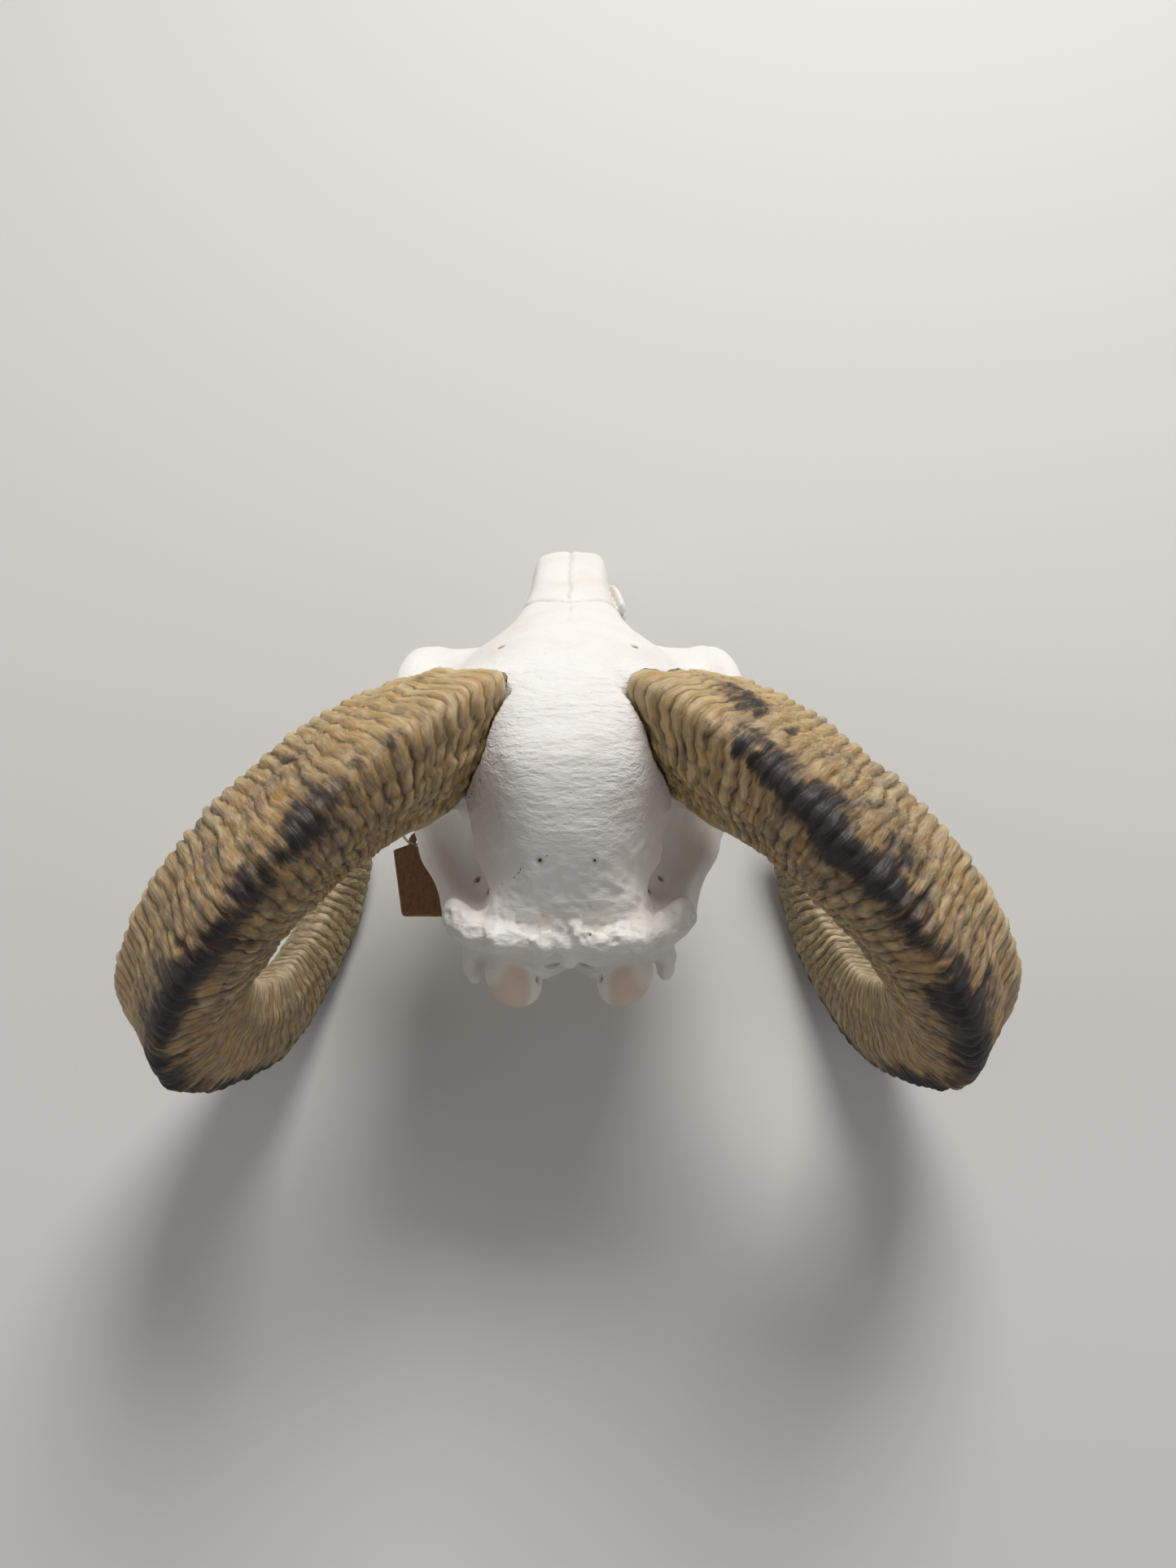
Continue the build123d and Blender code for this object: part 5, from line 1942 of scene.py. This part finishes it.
@dataclass
class HangTag:
    """A blank kraft hang-tag: scooped shoulders, a round tab with a hole, curled corners."""

    wide: float = 22.0
    tall: float = 42.0
    thick: float = 0.8
    hole: float = 2.6
    origin: Place = (65.1, 45.7, 103.5)     # hole, table frame, mm
    curl: float = 0.35              # mm, at the low corners
    count: int = 240                # corners round the outline

    def outline(self) -> Array:
        """The card's outline, anticlockwise, y up towards its tab.

        Returns:
            Points in mm.
        """
        tab = self.wide * 0.27
        scoop = self.wide * 0.21
        top = -tab * 0.4
        low = top - (self.tall - tab * 1.4)
        corner = self.wide * 0.09
        half = self.wide / 2
        points = []
        for cx, cy, start in ((-half + corner, low + corner, 180), (half - corner,
                                                                   low + corner, 270)):
            for a in np.radians(np.linspace(start, start + 90, 8)):
                points.append((cx + corner * math.cos(a), cy + corner * math.sin(a)))
        centre = (tab * 0.9 + scoop, top + scoop * 0.55)
        for a in np.radians(np.linspace(308, 215, 16)):
            points.append((centre[0] + scoop * math.cos(a), centre[1] + scoop * math.sin(a)))
        for a in np.radians(np.linspace(-16, 196, 34)):
            points.append((tab * math.cos(a), tab * math.sin(a)))
        for a in np.radians(np.linspace(-35, -128, 16)):
            points.append((-centre[0] + scoop * math.cos(a),
                           centre[1] + scoop * math.sin(a)))
        return np.array(points)

    def build(self) -> Piece:
        """Builds the card from rings between its hole and its outline.

        Returns:
            The card's piece.
        """
        outline, count = self.outline(), self.count
        ring = np.concatenate([outline, outline[:1]])
        length = np.concatenate([[0], np.cumsum(np.linalg.norm(np.diff(ring, axis=0), axis=1))])
        even = np.linspace(0, length[-1], count, endpoint=False)
        edge = np.stack([np.interp(even, length, ring[:, i]) for i in (0, 1)], axis=-1)
        facing = np.arctan2(edge[:, 1] + 6.0, edge[:, 0])
        hole = np.stack([np.cos(facing), np.sin(facing)], axis=-1) * self.hole
        shares = np.concatenate([[0.0, 0.03], np.linspace(0.1, 0.9, 14), [0.96, 0.985, 1.0]])
        flat = np.array([hole + (edge - hole) * s for s in shares])
        half = np.full(len(shares), self.thick / 2)
        half[0], half[-1], half[-2] = self.thick * 0.34, self.thick * 0.34, self.thick * 0.46
        rows = []
        for sign in (1, -1):
            part = np.zeros(flat.shape[:2] + (3,))
            part[..., :2] = flat
            bend = self.curl * smooth(np.hypot(flat[..., 0], flat[..., 1] * 0.5), 9.0, 22.0)
            bend = bend * (0.4 + 0.6 * np.sin(flat[..., 0] * 0.14 + 0.8))
            part[..., 2] = sign * half[:, None] + bend
            part[..., 2] += 0.03 * Grain.waves(part * np.array([1, 1, 0]), 1.6, 71, 2)
            rows.append(part if sign > 0 else part[::-1])
        loop = np.concatenate(rows)
        n_rows = len(loop)
        local = loop.reshape(-1, 3)
        i, j = np.meshgrid(np.arange(n_rows), np.arange(count), indexing="ij")
        i2, j2 = (i + 1) % n_rows, (j + 1) % count
        faces = np.stack([i * count + j, i2 * count + j, i2 * count + j2, i * count + j2],
                         axis=-1).reshape(-1, 4)
        hang = np.array(HANG)
        side, up = np.array([1.0, 0.0, 0.0]), -hang
        out = np.cross(side, up)
        points = np.array(self.origin) + local[:, :1] * side + local[:, 1:2] * up \
            + local[:, 2:] * out
        rim = np.concatenate([smooth(shares, 0.95, 1.0), smooth(shares, 0.95, 1.0)[::-1]])
        rim = np.maximum(rim, np.concatenate([1 - smooth(shares, 0.0, 0.05),
                                              (1 - smooth(shares, 0.0, 0.05))[::-1]]))
        worn = np.repeat(rim, count) * (0.55 + 0.45 * Grain.waves(local, 3.0, 72))
        piece = make_piece("card", points * MM, faces.tolist(), KRAFT, {"edge": worn})
        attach(piece, "card")
        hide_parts("tag")
        return piece


@dataclass
class TagLoop:
    """The thin plastic loop that ties the tag to the cheek arch, with its moulded seam."""

    radius: float = 10.5
    wire: float = 0.6
    centre: Place = (65.1, 37.8, 110.3)     # table frame, mm
    steps: int = 200                # corners round the loop
    sides: int = 20                 # corners round the wire

    def build(self) -> Piece:
        """Builds the loop round the same circle as its CAD node.

        Returns:
            The loop's piece.
        """
        hang = unit(np.array(HANG))
        card = np.cross([1.0, 0.0, 0.0], hang)
        across = unit(np.array([1.0, 0.0, 0.0]) + card)
        away = np.cross(hang, across)
        steps, sides = self.steps, self.sides
        a = np.linspace(0, 2 * math.pi, steps, endpoint=False)[:, None]
        b = np.linspace(0, 2 * math.pi, sides, endpoint=False)[None, :]
        spoke = hang * np.cos(a)[..., None] + across * np.sin(a)[..., None]
        bead = 1.0 - 0.10 * np.abs(np.sin(a * 9.0)) ** 8
        lock = 0.06 * gauss((a - 2.2), 0.12)
        wire = self.wire * (bead + lock) * (1 - 0.06 * np.cos(b) ** 2)
        points = np.array(self.centre) + spoke * (self.radius + wire * np.cos(b))[..., None] \
            + away * (wire * np.sin(b))[..., None]
        i, j = np.meshgrid(np.arange(steps), np.arange(sides), indexing="ij")
        i2, j2 = (i + 1) % steps, (j + 1) % sides
        faces = np.stack([i * sides + j, i * sides + j2, i2 * sides + j2, i2 * sides + j],
                         axis=-1).reshape(-1, 4)
        piece = make_piece("loop", points.reshape(-1, 3) * MM, faces[:, ::-1].tolist(), PLASTIC)
        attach(piece, "loop")
        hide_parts("tag_loop")
        return piece


# ---------------------------------------------------------------- studio
@dataclass
class Studio:
    """A pale floor, soft lights and a camera looking down from behind the skull."""

    eye: Place = (-7.4, 206.8, 617.4)       # mm
    pitch: float = 69.85                                          # degrees below level
    yaw: float = -0.004                                           # radians
    lens: float = 28.02                                           # mm
    floor: float = 9.0                                            # m across
    sky: str = "DADCE0"
    sky_light: float = 0.27

    def build(self) -> None:
        """Makes the floor, the lights and the camera."""
        half = self.floor / 2
        corners = np.array([(-half, -half, 0), (half, -half, 0), (half, half, 0),
                            (-half, half, 0)])
        floor = make_piece("floor", corners, [[0, 1, 2, 3]], StudioPaint())
        floor.location.z = -0.0005
        for name, at, size, power in (("key", (-0.30, -1.15, 1.35), 0.7, 27.0),
                                      ("fill", (1.4, 0.1, 1.0), 1.2, 5.0),
                                      ("back", (-1.2, 0.6, 0.9), 1.2, 3.0)):
            lamp = bpy.data.lights.new(name, "AREA")
            lamp.size, lamp.energy = size, power
            made = bpy.data.objects.new(name, lamp)
            made.location = at
            aim = Vector((0.0, 0.0, 0.1)) - Vector(at)
            made.rotation_euler = aim.to_track_quat("-Z", "Y").to_euler()
            bpy.context.scene.collection.objects.link(made)
        world = bpy.data.worlds.new("studio")
        world.use_nodes = True
        background = world.node_tree.nodes["Background"]
        background.inputs["Color"].default_value = linear(self.sky)
        background.inputs["Strength"].default_value = self.sky_light
        bpy.context.scene.world = world
        bpy.context.scene.view_settings.view_transform = "Standard"
        camera = bpy.data.cameras.new("camera")
        camera.lens, camera.sensor_width = self.lens, 36.0
        camera.clip_start, camera.clip_end = 0.01, 50.0
        made = bpy.data.objects.new("camera", camera)
        pitch, yaw = math.radians(self.pitch), self.yaw
        ahead = Vector((math.sin(yaw) * math.cos(pitch), -math.cos(yaw) * math.cos(pitch),
                        -math.sin(pitch)))
        right = ahead.cross(Vector((0, 0, 1))).normalized()
        up = right.cross(ahead)
        turn = Matrix((right, up, -ahead)).transposed()
        made.matrix_world = Matrix.Translation(Vector(self.eye) * MM) @ turn.to_4x4()
        bpy.context.scene.collection.objects.link(made)
        bpy.context.scene.camera = made


def main() -> None:
    """Builds every sub-assembly and reports its pieces."""
    logging.basicConfig(level=logging.INFO, format="%(message)s")
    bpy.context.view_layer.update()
    builders = (
        Head(),
        HornCore(Side.LEFT, "core_left"),
        HornCore(Side.RIGHT, "core_right"),
        HornSheath(Side.LEFT, "sheath_left", darkness=0.75, seed=3),
        HornSheath(Side.RIGHT, "sheath_right", darkness=1.25, seed=14),
        InnerNose(),
        TagLoop(),
        HangTag(),
    )
    for builder in builders:
        made = builder.build()
        for piece in made if isinstance(made, list) else [made]:
            LOG.info("%s: %s, %d faces", type(builder).__name__, piece.name,
                     len(piece.data.polygons))
    Studio().build()


if __name__ == "__main__":
    main()
